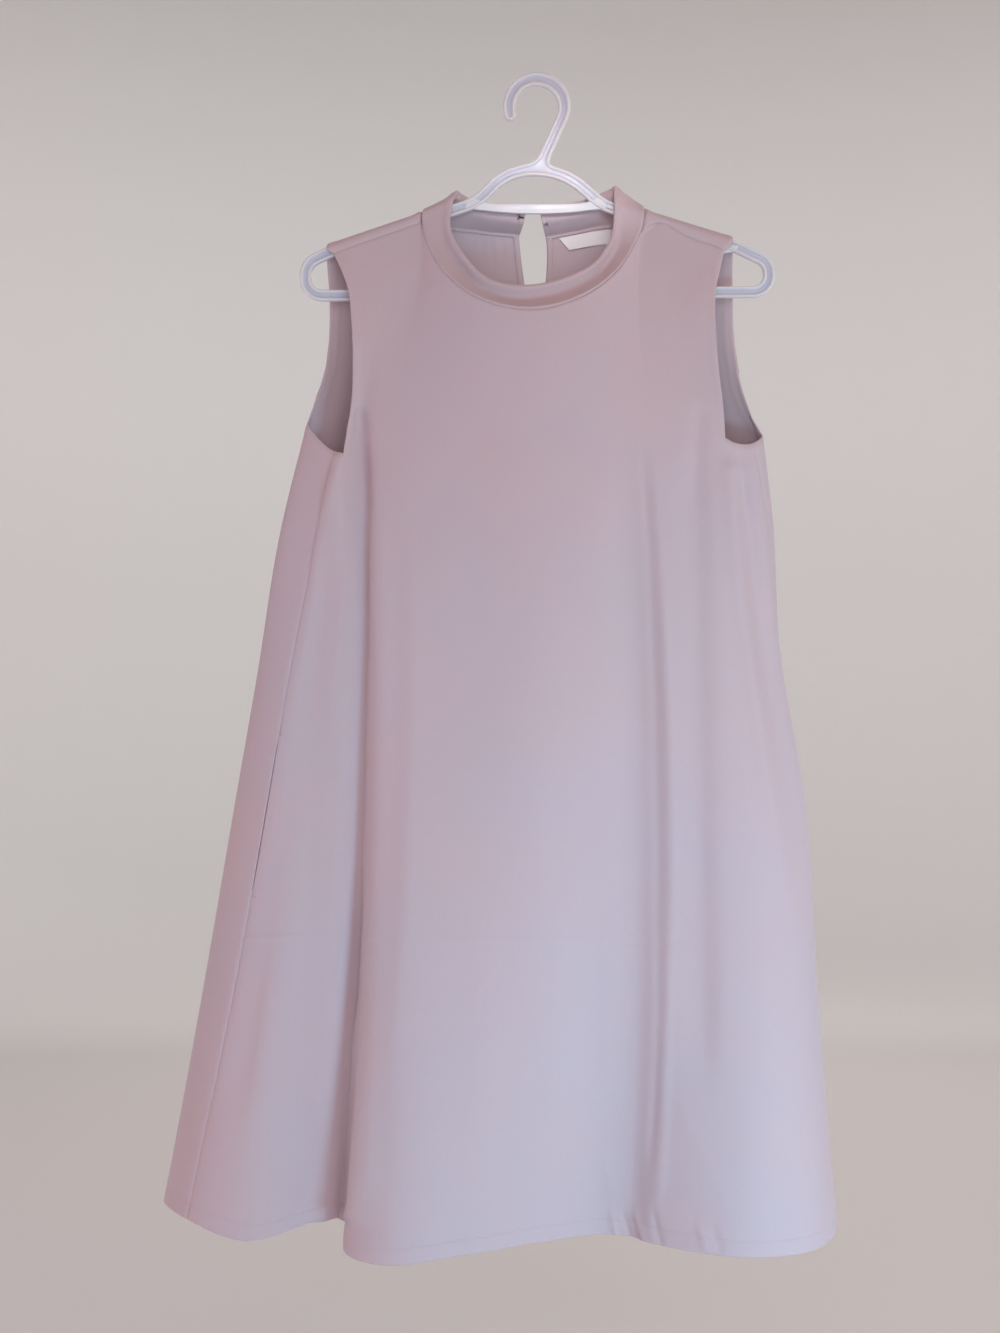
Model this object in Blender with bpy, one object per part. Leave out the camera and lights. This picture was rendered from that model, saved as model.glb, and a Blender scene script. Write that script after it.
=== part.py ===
"""Sleeveless shift dress with a folded stand collar, hanging on a moulded hanger.

Lengths in this file are millimetres; make_object turns them into metres. +Z is up,
the front of the dress faces -Y, and the hanger lies in the plane y = 0. The origin
is the inside top of the hanger's hook, where a rail or a peg carries it.

The cloth is one skin of points: rings round the body from the underarms to the hem,
and three patches above them for the front and the two halves of the back. The front
and back panels are the two sides of that skin, each thickened into a wall.
"""

import math
from collections import namedtuple

import bpy
import numpy as np

MM = 0.001

# ---------------------------------------------------------------- cloth sizes

WALL = 1.5                 # one layer of dress cloth
SEAM_GAP = 0.4             # between two pieces that meet at a seam
LAYER_GAP = 0.35           # between a panel and what lies on its inside
POCKET_GAPE = 1.6          # how far the pocket slit stands open

BODY_ROWS = 20             # rings between the underarms and the hem
BODICE_ROWS = 9            # rows between the underarms and the neck or the shoulders
SLIT_ROWS = 3              # rows above the underarms where the back slit closes
SHOULDER_COLUMNS = 7       # columns along each shoulder seam
FRONT_NECK_COLUMNS = 16    # columns along the front of the neck seam
BACK_NECK_COLUMNS = 5      # columns along each half of the back of the neck seam

# Lines that run down the cloth, going round the body over the front and then the back.
# Each has its place at the underarm, at four levels, and at the hem, and the number of
# columns between it and the next line.
LEVEL_Z = (-400.0, -500.0, -620.0, -800.0)
Line = namedtuple("Line", "name arm bust waist hip thigh hem steps")
LINES = (
    Line("seam_left", (-176, -23, -325), (-191, -28), (-211, -33), (-231, -36), (-263, -40),
         (-301, -45, -988), 2),
    Line("ridge_left", (-167, -28, -327), (-184, -33), (-200, -39), (-214, -45), (-233, -58),
         (-246, -72, -999), 2),
    Line("valley_left", (-151, -23, -325), (-147, -27), (-146, -35), (-148, -41), (-155, -47),
         (-166, -46, -986), 3),
    Line("edge_left", (-139, -29, -324), (-136, -38), (-134, -50), (-134, -62), (-141, -76),
         (-160.5, -90, -1004), 2),
    Line("peak_left", (-119, -36, -323), (-115, -48), (-112, -61), (-112, -77), (-118, -97),
         (-128, -115, -1006), 4),
    Line("mid_left", (-62, -48, -323), (-60, -57), (-58, -69), (-57, -84), (-57, -102),
         (-58, -110, -999), 4),
    Line("centre", (0, -54, -322), (2, -62), (4, -73), (6, -83), (9, -92), (14, -86, -994), 3),
    Line("recess_right", (48, -51, -321), (50, -57), (52, -65), (53, -71), (55, -73),
         (58, -62, -996), 3),
    Line("valley_right", (80, -45, -320), (84, -48), (88, -54), (89, -60), (86, -67),
         (80, -66, -997), 2),
    Line("crest_right", (97, -43, -320), (105, -50), (112, -60), (113, -68), (108, -78),
         (97, -82, -998), 7),
    Line("ridge_right", (165, -28, -314), (171, -36), (180, -43), (194, -56), (190, -84),
         (176, -114, -1000), 3),
    Line("dip_right", (173, -26, -318), (184, -24), (194, -27), (213, -37), (226, -60),
         (233, -87, -1002), 2),
    Line("side_right", (185, -21, -319), (201.5, -16), (212, -12), (235, -14), (246, -24),
         (257, -49, -999), 2),
    Line("seam_right", (192, -17, -317), (208, -7), (216.5, 1), (235.5, 6), (246.5, 8),
         (261, 12, -988), 2),
    Line("turn_right", (201, -3, -309), (213, 6), (214.5, 14), (226, 23), (237, 31),
         (250, 39, -987), 3),
    Line("back_dip_right", (172, 20, -306), (180, 26), (183, 30), (187, 35), (194, 43),
         (202, 50, -990), 3),
    Line("back_crest_right", (118, 31, -308), (120, 37), (120, 46), (121, 58), (126, 76),
         (134, 92, -997), 3),
    Line("back_mid_right", (58, 36, -310), (59, 41), (60, 48), (60, 56), (61, 64),
         (62, 70, -994), 3),
    Line("back_centre", (-2, 38, -310), (0, 43), (0, 51), (0, 62), (0, 76), (0, 86, -997), 3),
    Line("back_mid_left", (-60, 36, -310), (-61, 41), (-63, 47), (-65, 54), (-68, 62),
         (-72, 66, -993), 3),
    Line("back_crest_left", (-122, 31, -308), (-126, 38), (-131, 47), (-138, 60), (-148, 78),
         (-158, 94, -998), 3),
    Line("back_dip_left", (-176, 20, -304), (-187, 24), (-196, 29), (-208, 34), (-228, 42),
         (-246, 50, -991), 3),
    Line("turn_left", (-201, 3, -296), (-227, 0), (-242, 1), (-263, 2), (-294, 5),
         (-328, 9, -985), 4),
)

# Armhole edges between the underarm row and the shoulder, from the bottom up.
Edge = namedtuple("Edge", "x y z")
FRONT_EDGE_LEFT = (
    Edge(-164, -26, -306), Edge(-160, -25, -287), Edge(-159, -22, -253),
    Edge(-160.5, -18, -209), Edge(-164.5, -14, -178), Edge(-170, -11, -164),
)
FRONT_EDGE_RIGHT = (
    Edge(163, -26, -286), Edge(160, -22, -254), Edge(158, -20, -229),
    Edge(157.5, -15, -189), Edge(158.5, -13, -178), Edge(161.5, -10, -167),
)
BACK_EDGE_RIGHT = (
    Edge(191, 8, -288), Edge(184, 14, -268), Edge(180, 18, -242),
    Edge(177, 20, -214), Edge(176.5, 19, -187), Edge(175.5, 13, -155),
)
BACK_EDGE_LEFT = (
    Edge(-197, 10, -282), Edge(-190, 16, -263), Edge(-185, 19, -242),
    Edge(-183, 20, -217), Edge(-182.5, 19, -187), Edge(-184, 13, -158),
)

# The slit at centre back: its two edges, from the neck seam down to its end.
SlitLevel = namedtuple("SlitLevel", "z left right")
SLIT = (
    SlitLevel(-126, -14.4, 10.9), SlitLevel(-140, -13.2, 11.8), SlitLevel(-168, -9.5, 10.6),
    SlitLevel(-210, -4.0, 6.5), SlitLevel(-249, 0.5, 0.5), SlitLevel(-310, -2.0, -2.0),
)

# ---------------------------------------------------------------- collar

# Stations round the neck, from one edge of the slit to the other over the front, with the
# seam on the dress, the folded top edge of the band, and how much of the profile's dip the
# band has there: little where a hanger arm passes close behind it.
Station = namedtuple("Station", "name seam top dip")
STATIONS = (
    Station("slit_left", (-14.4, 28, -126.6), (-8.0, 8.8, -106.0), 1.0),
    Station("back_left", (-50, 24, -124.3), (-45, 8.8, -101.5), 1.0),
    Station("nape_left", (-93, 11, -117.0), (-62, 8.6, -95.8), 0.5),
    Station("behind_left", (-98, 5.7, -112.0), (-67.5, 5.4, -93.2), 0.3),
    Station("side_left", (-100, 0, -109.6), (-70, 0, -92.0), 0.5),
    Station("before_left", (-100.6, -5.7, -113.0), (-72.5, -7.2, -99.0), 0.2),
    Station("shoulder_left", (-100.4, -7.6, -121.8), (-74.4, -9.0, -108.0), 0.2),
    Station("front_side_left", (-94.4, -17, -145), (-76.0, -14, -125.5), 0.6),
    Station("front_left", (-75.5, -32, -175), (-64.0, -23, -151.5), 1.0),
    Station("front_mid_left", (-50.5, -43, -194.4), (-45.0, -32.5, -173.5), 1.0),
    Station("centre", (0, -50, -205.5), (-3.0, -38, -182.6), 1.0),
    Station("front_mid_right", (46.6, -43, -189.8), (41.0, -32, -168.5), 1.0),
    Station("front_right", (73.3, -30, -166), (59.0, -23, -152.0), 1.0),
    Station("front_side_right", (89.0, -16.5, -139.5), (69.5, -13.5, -128.0), 0.5),
    Station("shoulder_right", (93.3, -11.6, -130.5), (70.8, -10.8, -115.0), 0.2),
    Station("before_right", (97.4, -6.4, -111.8), (71.3, -8.2, -99.0), 0.2),
    Station("side_right", (97, 0, -107.0), (72.0, 0, -88.0), 0.4),
    Station("behind_right", (95.6, 5.8, -110.0), (69.0, 6.0, -89.4), 0.3),
    Station("nape_right", (91, 11, -114.8), (63.5, 8.6, -91.6), 0.5),
    Station("back_right", (49.8, 24, -121.8), (45.0, 8.8, -98.5), 1.0),
    Station("slit_right", (10.9, 28, -128.6), (4.5, 8.8, -106.5), 1.0),
)

# The band's profile from the seam to its fold: how far up, how far it dips towards the
# neck, and how thick the folded band is there.
Profile = namedtuple("Profile", "rise dip wall")
COLLAR_PROFILE = (
    Profile(0.00, 0.0, 1.8), Profile(0.14, 1.5, 2.1), Profile(0.34, 2.7, 2.4),
    Profile(0.54, 2.7, 2.8), Profile(0.74, 1.6, 3.4), Profile(0.90, 0.5, 4.0),
    Profile(1.00, 0.9, 3.0),
)
COLLAR_CROWN = 1.1         # how far the fold rounds up over the last profile row

# ---------------------------------------------------------------- shoulders

# The shoulder seams, from the armhole to the neck: x and y of the seam and how far below
# the fold over the hanger's arm it lies.
SeamPoint = namedtuple("SeamPoint", "x y drop")
SHOULDER_SEAM_LEFT = (
    SeamPoint(-177, -7.4, 11.6), SeamPoint(-166, -7.4, 11.0), SeamPoint(-155, -7.4, 10.8),
    SeamPoint(-144, -7.4, 10.6), SeamPoint(-133, -7.4, 10.6), SeamPoint(-122, -7.4, 10.5),
    SeamPoint(-111, -7.4, 10.4), SeamPoint(-100.4, -7.4, 10.3),
)
SHOULDER_SEAM_RIGHT = (
    SeamPoint(166, -7.6, 16.6), SeamPoint(155, -7.4, 14.4), SeamPoint(145, -7.4, 14.5),
    SeamPoint(134.5, -7.4, 14.0), SeamPoint(124.5, -7.4, 11.2), SeamPoint(114.5, -7.4, 8.4),
    SeamPoint(103.5, -8.4, 11.8), SeamPoint(93.3, -11.6, 21.5),
)
TIP_FOLD_X = (-183, 174)   # where the fold over the arm meets the armhole, left and right
TIP_BACK_X = (-184.5, 175.5)
# The cloth's way over the arm, from in front to behind: y, and height below the fold.
WrapPoint = namedtuple("WrapPoint", "y drop")
ARM_WRAP = (
    WrapPoint(-7.2, 4.8), WrapPoint(-4.7, 1.1), WrapPoint(0.0, 0.0),
    WrapPoint(4.7, 1.1), WrapPoint(7.2, 4.8), WrapPoint(8.2, 10.0),
)

# ---------------------------------------------------------------- small pieces

POCKET_TOP_Z = -571.0
POCKET_END_Z = -710.0
POCKET_BAG_TOP_Z = -556.0
POCKET_BAG_END_Z = -800.0
POCKET_BAG_WALL = 2.0      # its two layers lie flat together
BINDING_WIDTH = 5.5
BINDING_WALL = 1.0
LABEL_START = 11.0         # from the slit's edge to the label's near end
LABEL_LENGTH = 62.0
LABEL_HEIGHT = 12.5
LABEL_MITRE = 10.0
LABEL_WALL = 0.8
WIRE = 0.9                 # thickness of the hook's and the eye's wire
WIRE_HEIGHT = 0.68         # how far up the collar they sit
# Their bent outlines, from the collar's end: along it, up it, and away from its inner face.
HOOK_WIRE = ((-8.0, -1.6, 0.3), (-3.0, -1.6, 0.3), (-0.8, -1.2, 0.5), (0.2, 0.2, 0.8),
             (-0.8, 1.6, 1.1), (-3.4, 1.7, 1.2))
EYE_WIRE = ((-4.4, -2.8, 0.5), (-1.8, -2.7, 0.5), (-0.5, -1.6, 0.6), (-0.1, 0.0, 0.6),
            (-0.5, 1.6, 0.6), (-1.8, 2.7, 0.5), (-4.4, 2.8, 0.5))

# ---------------------------------------------------------------- hanger

FACE = 10.5                # width of the moulding, seen from the front
DEPTH = 6.6
HOOK_DEPTH = 7.4
GROOVE = 2.6
GROOVE_DEPTH = 1.5
ARM_CLEARANCE = 0.5        # between the top of an arm and the cloth on it

# Corners of the moulding's centre line, with the radius that rounds each.
Corner = namedtuple("Corner", "name x z radius")
HANGER_CORNERS = (
    Corner("bar_left", -202.7, -185.0, 15.4),
    Corner("bar_right", 206.8, -181.6, 14.2),
    Corner("loop_right", 206.8, -155.6, 14.8),
    Corner("bend_right", 174.1, -140.5, 40.0),
    Corner("foot_right", 57.8, -104.6, 38.0),
    Corner("arch_right", 37.2, -84.0, 37.0),
    Corner("crown_right", 15.8, -75.0, 34.0),
    Corner("crown_left", -7.6, -74.1, 40.0),
    Corner("arch_left", -27.9, -79.2, 29.0),
    Corner("foot_left", -51.0, -102.3, 18.0),
    Corner("bend_left", -180.7, -146.3, 40.0),
    Corner("loop_left", -202.7, -156.8, 16.0),
)
ARC_STEP = 16.0            # degrees of turn for each piece of a rounded corner
HOOK_RADIUS = 24.4         # centre line of the hook
HOOK_WIDEN = 1.19          # the hook is a little thicker over its top
HOOK_CENTRE_X = 1.5
HOOK_START = -24.0         # degrees, where the straight stem meets the hook
HOOK_END = 196.0
HOOK_SEGMENTS = 18
STEM_LENGTH = 51.0
NECK_BAR_ENDS = ((-53, -103.6), (56, -103.0))
NECK_BAR_SAG = 4.6
NECK_BAR_HEIGHT = 8.8
NECK_BAR_DEPTH = 4.0
NECK_BAR_SEGMENTS = 8
WEB_DEPTH = 3.2
WEBS = (                   # flat webs: below the arms near the armholes, beside the stem
    ((150, -137), (180, -141), (177, -146), (166, -147.8), (153, -145)),
    ((-150, -137), (-153, -146), (-167, -150), (-178, -150), (-181, -145)),
    ((-17, -74.2), (-6, -69.8), (0.5, -64.5), (4.2, -57.5), (8, -62), (3, -74)),
    ((11.5, -70.5), (8, -74), (5, -70), (12.6, -60.5), (12.2, -66.5), (14, -68.6),
     (19.5, -73.4), (12, -75)),
)

# ---------------------------------------------------------------- materials

CLOTH_COLOUR = (0.42, 0.31, 0.335)
LABEL_COLOUR = (0.72, 0.68, 0.66)
HANGER_COLOUR = (0.82, 0.82, 0.84)
WIRE_COLOUR = (0.05, 0.05, 0.055)


# ================================================================ helpers

def smooth(keys, values, at):
    """Read a smooth curve through the values at rising keys, at the places in at."""
    keys = np.asarray(keys, dtype=float)
    values = np.asarray(values, dtype=float)
    at = np.atleast_1d(np.asarray(at, dtype=float))
    step = np.diff(keys)[:, None]
    slope = np.diff(values, axis=0) / step
    tangent = np.empty_like(values)
    tangent[1:-1] = (slope[:-1] * step[1:] + slope[1:] * step[:-1]) / (step[:-1] + step[1:])
    tangent[0] = slope[0]
    tangent[-1] = slope[-1]
    cell = np.clip(np.searchsorted(keys, at, side="right") - 1, 0, len(keys) - 2)
    width = step[cell]
    t = ((at - keys[cell]) / width[:, 0])[:, None]
    before, after = values[cell], values[cell + 1]
    start, end = tangent[cell] * width, tangent[cell + 1] * width
    return ((2 * t**3 - 3 * t**2 + 1) * before + (t**3 - 2 * t**2 + t) * start
            + (3 * t**2 - 2 * t**3) * after + (t**3 - t**2) * end)


def chord_keys(points, power=1.0):
    """Rising keys for a row of points, from the distances between them."""
    lengths = np.linalg.norm(np.diff(np.asarray(points, dtype=float), axis=0), axis=1)
    return np.concatenate(([0.0], np.cumsum(lengths**power)))


def unit(vector):
    """The vector with length 1."""
    vector = np.asarray(vector, dtype=float)
    return vector / np.linalg.norm(vector)


def material(name, colour, roughness, metallic=0.0):
    """A plain Principled material."""
    made = bpy.data.materials.new(name)
    made.use_nodes = True
    shader = made.node_tree.nodes["Principled BSDF"]
    shader.inputs["Base Color"].default_value = (*colour, 1.0)
    shader.inputs["Roughness"].default_value = roughness
    shader.inputs["Metallic"].default_value = metallic
    return made


def make_object(name, points, faces, finish, sharp=40.0):
    """An object from points in millimetres and faces wound outwards."""
    mesh = bpy.data.meshes.new(name)
    mesh.from_pydata([tuple(float(value) * MM for value in point) for point in points], [], faces)
    mesh.validate()
    mesh.shade_smooth()
    mesh.set_sharp_from_angle(angle=math.radians(sharp))
    mesh.materials.append(finish)
    made = bpy.data.objects.new(name, mesh)
    bpy.context.scene.collection.objects.link(made)
    return made


def ring_solid(name, rings, finish, closed=False):
    """A solid through rings of equal length, open with flat ends or closed into a loop."""
    count = len(rings[0])
    points = [point for ring in rings for point in ring]
    faces = []
    spans = len(rings) if closed else len(rings) - 1
    for ring in range(spans):
        after = (ring + 1) % len(rings)
        for corner in range(count):
            beside = (corner + 1) % count
            faces.append((ring * count + corner, ring * count + beside,
                          after * count + beside, after * count + corner))
    if not closed:
        faces.append(tuple(reversed(range(count))))
        faces.append(tuple(range((len(rings) - 1) * count, len(rings) * count)))
    return make_object(name, points, faces, finish)


# ================================================================ the skin of the dress

def body_rings():
    """Rings from the underarms to the hem, as an array of rows, columns and xyz."""
    rows = np.linspace(0.0, 1.0, BODY_ROWS + 1)
    paths = []
    for line in LINES:
        keys = [-line.arm[2], *(-level for level in LEVEL_Z), -line.hem[2]]
        values = [line.arm[:2], line.bust, line.waist, line.hip, line.thigh, line.hem[:2]]
        z = line.arm[2] + (line.hem[2] - line.arm[2]) * rows
        paths.append(np.column_stack([smooth(keys, values, -z), z]))
    paths = np.array(paths)
    rings = []
    for row in range(BODY_ROWS + 1):
        points = paths[:, row]
        wrapped = np.concatenate([points[-2:], points, points[:3]])
        keys = chord_keys(wrapped, 0.8)
        at = []
        for index, line in enumerate(LINES):
            start, end = keys[index + 2], keys[index + 3]
            at += [start + (end - start) * step / line.steps for step in range(line.steps)]
        rings.append(smooth(keys, wrapped, at))
    return np.array(rings)


def line_columns():
    """The first column of each line, by the line's name, and the number of columns."""
    columns, total = {}, 0
    for line in LINES:
        columns[line.name] = total
        total += line.steps
    return columns, total


def arm_line(x):
    """Height of a hanger arm's centre line, and its slope, at x."""
    corners = {corner.name: corner for corner in HANGER_CORNERS}
    side = "left" if x < 0 else "right"
    foot, bend = corners["foot_" + side], corners["bend_" + side]
    slope = (bend.z - foot.z) / (bend.x - foot.x)
    return foot.z + slope * (x - foot.x), slope


def fold_height(x):
    """Height of the cloth's fold over a hanger arm at x."""
    centre, slope = arm_line(x)
    return centre + 0.5 * FACE * math.hypot(1.0, slope) + ARM_CLEARANCE + WALL


def station_keys():
    """Each station's key along the neck seam, by name."""
    keys = chord_keys([station.seam for station in STATIONS])
    return {station.name: key for station, key in zip(STATIONS, keys)}


def neck_keys():
    """Keys of the collar's columns along the neck seam, from slit to slit, and the column
    where each named station lies."""
    keys = station_keys()
    half = FRONT_NECK_COLUMNS // 2
    steps = {("slit_left", "nape_left"): BACK_NECK_COLUMNS, ("nape_left", "behind_left"): 2,
             ("behind_left", "side_left"): 1, ("side_left", "before_left"): 1,
             ("before_left", "shoulder_left"): 2, ("shoulder_left", "centre"): half,
             ("centre", "shoulder_right"): half, ("shoulder_right", "before_right"): 2,
             ("before_right", "side_right"): 1, ("side_right", "behind_right"): 1,
             ("behind_right", "nape_right"): 2, ("nape_right", "slit_right"): BACK_NECK_COLUMNS}
    found, starts = [], {}
    for (start, end), count in steps.items():
        starts[start] = len(found)
        found += list(np.linspace(keys[start], keys[end], count, endpoint=False))
    starts["slit_right"] = len(found)
    found.append(keys["slit_right"])
    return found, starts


def neck_curve(which):
    """Points of the neck seam ("seam") or of the collar's fold ("top") at the columns."""
    keys = chord_keys([station.seam for station in STATIONS])
    values = [getattr(station, which) for station in STATIONS]
    return smooth(keys, values, neck_keys()[0])


def neck_run(start, end):
    """The neck seam's points from one named station to another, in either direction."""
    starts = neck_keys()[1]
    seam = neck_curve("seam")
    a, b = starts[start], starts[end]
    if a <= b:
        return seam[a:b + 1]
    return seam[b:a + 1][::-1]


def shoulder_strip(seam_points, side):
    """Rows of points from the shoulder seam over the hanger's arm to the back, by column.

    Column 0 is at the armhole and the last one at the neck, where it follows the seam."""
    start, end = ("shoulder_left", "nape_left") if side == 0 else ("shoulder_right", "nape_right")
    neck = neck_run(start, end)
    last = len(seam_points) - 1
    columns = []
    for index, place in enumerate(seam_points[:-1]):
        share = 1.0 - index / last
        fold_x = place.x + (TIP_FOLD_X[side] - seam_points[0].x) * share**2
        back_x = place.x + (TIP_BACK_X[side] - seam_points[0].x) * share**2
        column = [(place.x, place.y, fold_height(place.x) - place.drop)]
        for step, wrap in enumerate(ARM_WRAP):
            x = fold_x if step < 3 else back_x
            column.append((x, wrap.y, fold_height(fold_x) - wrap.drop))
        columns.append(column)
    columns.append([tuple(point) for point in neck])
    return np.array(columns)


def patch(bottom, slope, top, first_edge, last_edge):
    """A bodice patch from the underarm row up to its top edge, as rows of points.

    It leaves the underarm row in the direction of the cloth below it, and its first and
    last columns follow the given edges, given as functions of height."""
    count = len(bottom)
    across = np.arange(count) / (count - 1)
    rows = []
    for row in range(BODICE_ROWS + 1):
        t = row / BODICE_ROWS
        rise = (top[:, 2] - bottom[:, 2])[:, None]
        chord = top[:, :2] - bottom[:, :2]
        plan = ((2 * t**3 - 3 * t**2 + 1) * bottom[:, :2] + (t**3 - 2 * t**2 + t) * slope * rise
                + (3 * t**2 - 2 * t**3) * top[:, :2] + (t**3 - t**2) * chord)
        height = bottom[:, 2] + rise[:, 0] * t
        first = first_edge(height[0], plan[0]) - plan[0]
        last = last_edge(height[-1], plan[-1]) - plan[-1]
        plan = plan + first * ((1 - across)**3)[:, None] + last * (across**3)[:, None]
        rows.append(np.column_stack([plan, height]))
    return np.array(rows)


def edge_curve(points, bottom, top):
    """An armhole edge as a function of height, from its corner points and its table."""
    rising = [bottom] + [tuple(point) for point in points] + [top]
    keys = [point[2] for point in rising]
    values = [point[:2] for point in rising]
    return lambda height, plan: smooth(keys, values, height)[0]


def slit_curve(side):
    """An edge of the slit as a function of height: its x, and the patch's own y."""
    keys = [level.z for level in reversed(SLIT)]
    values = [[getattr(level, side)] for level in reversed(SLIT)]
    return lambda height, plan: np.array([smooth(keys, values, height)[0][0], plan[1]])


class Skin:
    """Points and faces of the whole dress, the front and back in one net.

    A point's key is its column, its row and, beside the open slit, its side. Rows count
    down from the underarm row, which is row 0, so the bodice has negative rows."""

    def __init__(self):
        self.points = {}
        self.faces = []
        self.shared = {}
        self.columns, self.count = line_columns()

    def key(self, column, row, towards=0):
        """The key of a point; towards says which way its face lies, at the slit."""
        column %= self.count
        side = ""
        if column == self.columns["back_centre"] and row < -SLIT_ROWS:
            side = "left" if towards > 0 else "right"
        found = (column, row, side)
        return self.shared.get(found, found)

    def cell(self, panel, column, row):
        """Add the two triangles between two columns and two rows."""
        places = ((column, row), (column, row + 1), (column + 1, row + 1), (column + 1, row))
        keys = (self.key(column, row, 1), self.key(column, row + 1, 1),
                self.key(column + 1, row + 1, -1), self.key(column + 1, row, -1))
        for picks in ((0, 1, 2), (0, 2, 3)):
            self.faces.append((panel, tuple(keys[pick] for pick in picks),
                               tuple(places[pick] for pick in picks)))

    def normals(self):
        """Outward normal at each point."""
        found = {key: np.zeros(3) for key in self.points}
        for _, corners, _ in self.faces:
            a, b, c = (self.points[key] for key in corners)
            normal = np.cross(b - a, c - a)
            for key in corners:
                found[key] += normal
        return {key: unit(normal) for key, normal in found.items()}

    def width(self, column, row):
        """Distance between a point and the next column's, in the same row."""
        return np.linalg.norm(self.points[self.key(column + 1, row, -1)]
                              - self.points[self.key(column, row, 1)])

    def height(self, column, row, towards=0):
        """Distance between a point and the next row's, in the same column."""
        return np.linalg.norm(self.points[self.key(column, row + 1, towards)]
                              - self.points[self.key(column, row, towards)])


def dress_skin():
    """The skin of the dress."""
    skin = Skin()
    rings = body_rings()
    slope = (rings[0, :, :2] - rings[1, :, :2]) / (rings[0, :, 2] - rings[1, :, 2])[:, None]
    column = skin.columns
    for row in range(BODY_ROWS + 1):
        for index in range(skin.count):
            skin.points[skin.key(index, row)] = rings[row, index]

    strip_left = shoulder_strip(SHOULDER_SEAM_LEFT, 0)
    strip_right = shoulder_strip(SHOULDER_SEAM_RIGHT, 1)

    # The front, from one armhole to the other.
    first, last = column["ridge_left"], column["ridge_right"]
    top = np.concatenate([strip_left[:, 0], neck_run("shoulder_left", "shoulder_right")[1:],
                          strip_right[::-1, 0][1:]])
    span = slice(first, last + 1)
    front = patch(rings[0, span], slope[span], top,
                  edge_curve(FRONT_EDGE_LEFT, rings[0, first], top[0]),
                  edge_curve(FRONT_EDGE_RIGHT, rings[0, last], top[-1]))
    for row in range(1, BODICE_ROWS + 1):
        for index in range(last - first + 1):
            skin.points[skin.key(first + index, -row)] = front[row, index]

    # The back, as two halves beside the slit, from right to left.
    centre = column["back_centre"]
    halves = (
        ("right", column["turn_right"], centre,
         np.concatenate([strip_right[:, -1], neck_run("nape_right", "slit_right")[1:]])),
        ("left", centre, column["turn_left"],
         np.concatenate([neck_run("slit_left", "nape_left"), strip_left[::-1, -1][1:]])),
    )
    for side, first_back, last_back, top in halves:
        span = slice(first_back, last_back + 1)
        if side == "right":
            first_edge = edge_curve(BACK_EDGE_RIGHT, rings[0, first_back], top[0])
            last_edge = slit_curve("right")
        else:
            first_edge = slit_curve("left")
            last_edge = edge_curve(BACK_EDGE_LEFT, rings[0, last_back], top[-1])
        back = patch(rings[0, span], slope[span], top, first_edge, last_edge)
        for row in range(1, BODICE_ROWS + 1):
            for index in range(first_back, last_back + 1):
                towards = -1 if side == "right" else 1
                found = skin.key(index, -row, towards)
                point = back[row, index - first_back]
                if found in skin.points:
                    point = 0.5 * (point + skin.points[found])
                skin.points[found] = point

    # The strips over the arms, whose last row is the front panel's first.
    wrap = len(ARM_WRAP)
    for index in range(SHOULDER_COLUMNS + 1):
        sides = ((column["turn_right"] + index, last - index, strip_right[index]),
                 (column["turn_left"] - index, first + index, strip_left[index]))
        for back_column, front_column, strip in sides:
            for step in range(1, wrap):
                skin.points[skin.key(back_column, -BODICE_ROWS - step)] = strip[wrap - step]
            skin.shared[(back_column, -BODICE_ROWS - wrap, "")] = (front_column, -BODICE_ROWS, "")

    seam_left, seam_right = column["seam_left"], column["seam_right"]
    for index in range(skin.count):
        panel = "front" if seam_left <= index < seam_right else "back"
        for row in range(BODY_ROWS):
            skin.cell(panel, index, row)
    for index in range(first, last):
        for row in range(-BODICE_ROWS, 0):
            skin.cell("front", index, row)
    for index in range(column["turn_right"], column["turn_left"]):
        near_neck = min(index - column["turn_right"], column["turn_left"] - 1 - index)
        rows_above = wrap if near_neck < SHOULDER_COLUMNS else 0
        for row in range(-BODICE_ROWS - rows_above, 0):
            skin.cell("back", index, row)
    skin.normal = skin.normals()
    return skin


# ================================================================ panels

def seam_pull(skin, panel):
    """How far each point of a panel is drawn back from the seams that it ends at."""
    members = {}
    for name, corners, _ in skin.faces:
        for key in corners:
            members.setdefault(key, set()).add(name)
    neck = {tuple(np.round(point, 3)) for point in neck_curve("seam")}
    on_seam = {key for key, names in members.items() if len(names) > 1}
    on_neck = {key for key in members if tuple(np.round(skin.points[key], 3)) in neck}
    held = on_seam | on_neck
    inwards = {}
    for name, corners, _ in skin.faces:
        if name != panel:
            continue
        free = [skin.points[key] for key in corners if key not in held]
        for key in corners:
            if key in held and free:
                inwards.setdefault(key, []).append(np.mean(free, axis=0) - skin.points[key])
    pulled = {}
    for key, directions in inwards.items():
        amount = 0.5 * SEAM_GAP
        in_slit = POCKET_END_Z < skin.points[key][2] < POCKET_TOP_Z
        if key in on_seam and in_slit:
            amount = 0.5 * POCKET_GAPE
        pulled[key] = unit(np.sum(directions, axis=0)) * amount
    return pulled


def make_panel(skin, panel, name, finish):
    """One side of the skin as a wall of cloth."""
    pulled = seam_pull(skin, panel)
    faces = [corners for owner, corners, _ in skin.faces if owner == panel]
    keys = sorted({key for corners in faces for key in corners})
    number = {key: index for index, key in enumerate(keys)}
    size = len(keys)
    outer = [skin.points[key] + pulled.get(key, 0.0) for key in keys]
    inner = [point - skin.normal[key] * WALL for key, point in zip(keys, outer)]
    solid = []
    edges = set()
    for corners in faces:
        face = [number[key] for key in corners]
        solid.append(tuple(face))
        solid.append(tuple(corner + size for corner in reversed(face)))
        edges.update(zip(face, face[1:] + face[:1]))
    for a, b in sorted(edges):
        if (b, a) not in edges:
            solid.append((b, a, a + size, b + size))
    return make_object(name, outer + inner, solid, finish)


# ================================================================ collar

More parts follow.
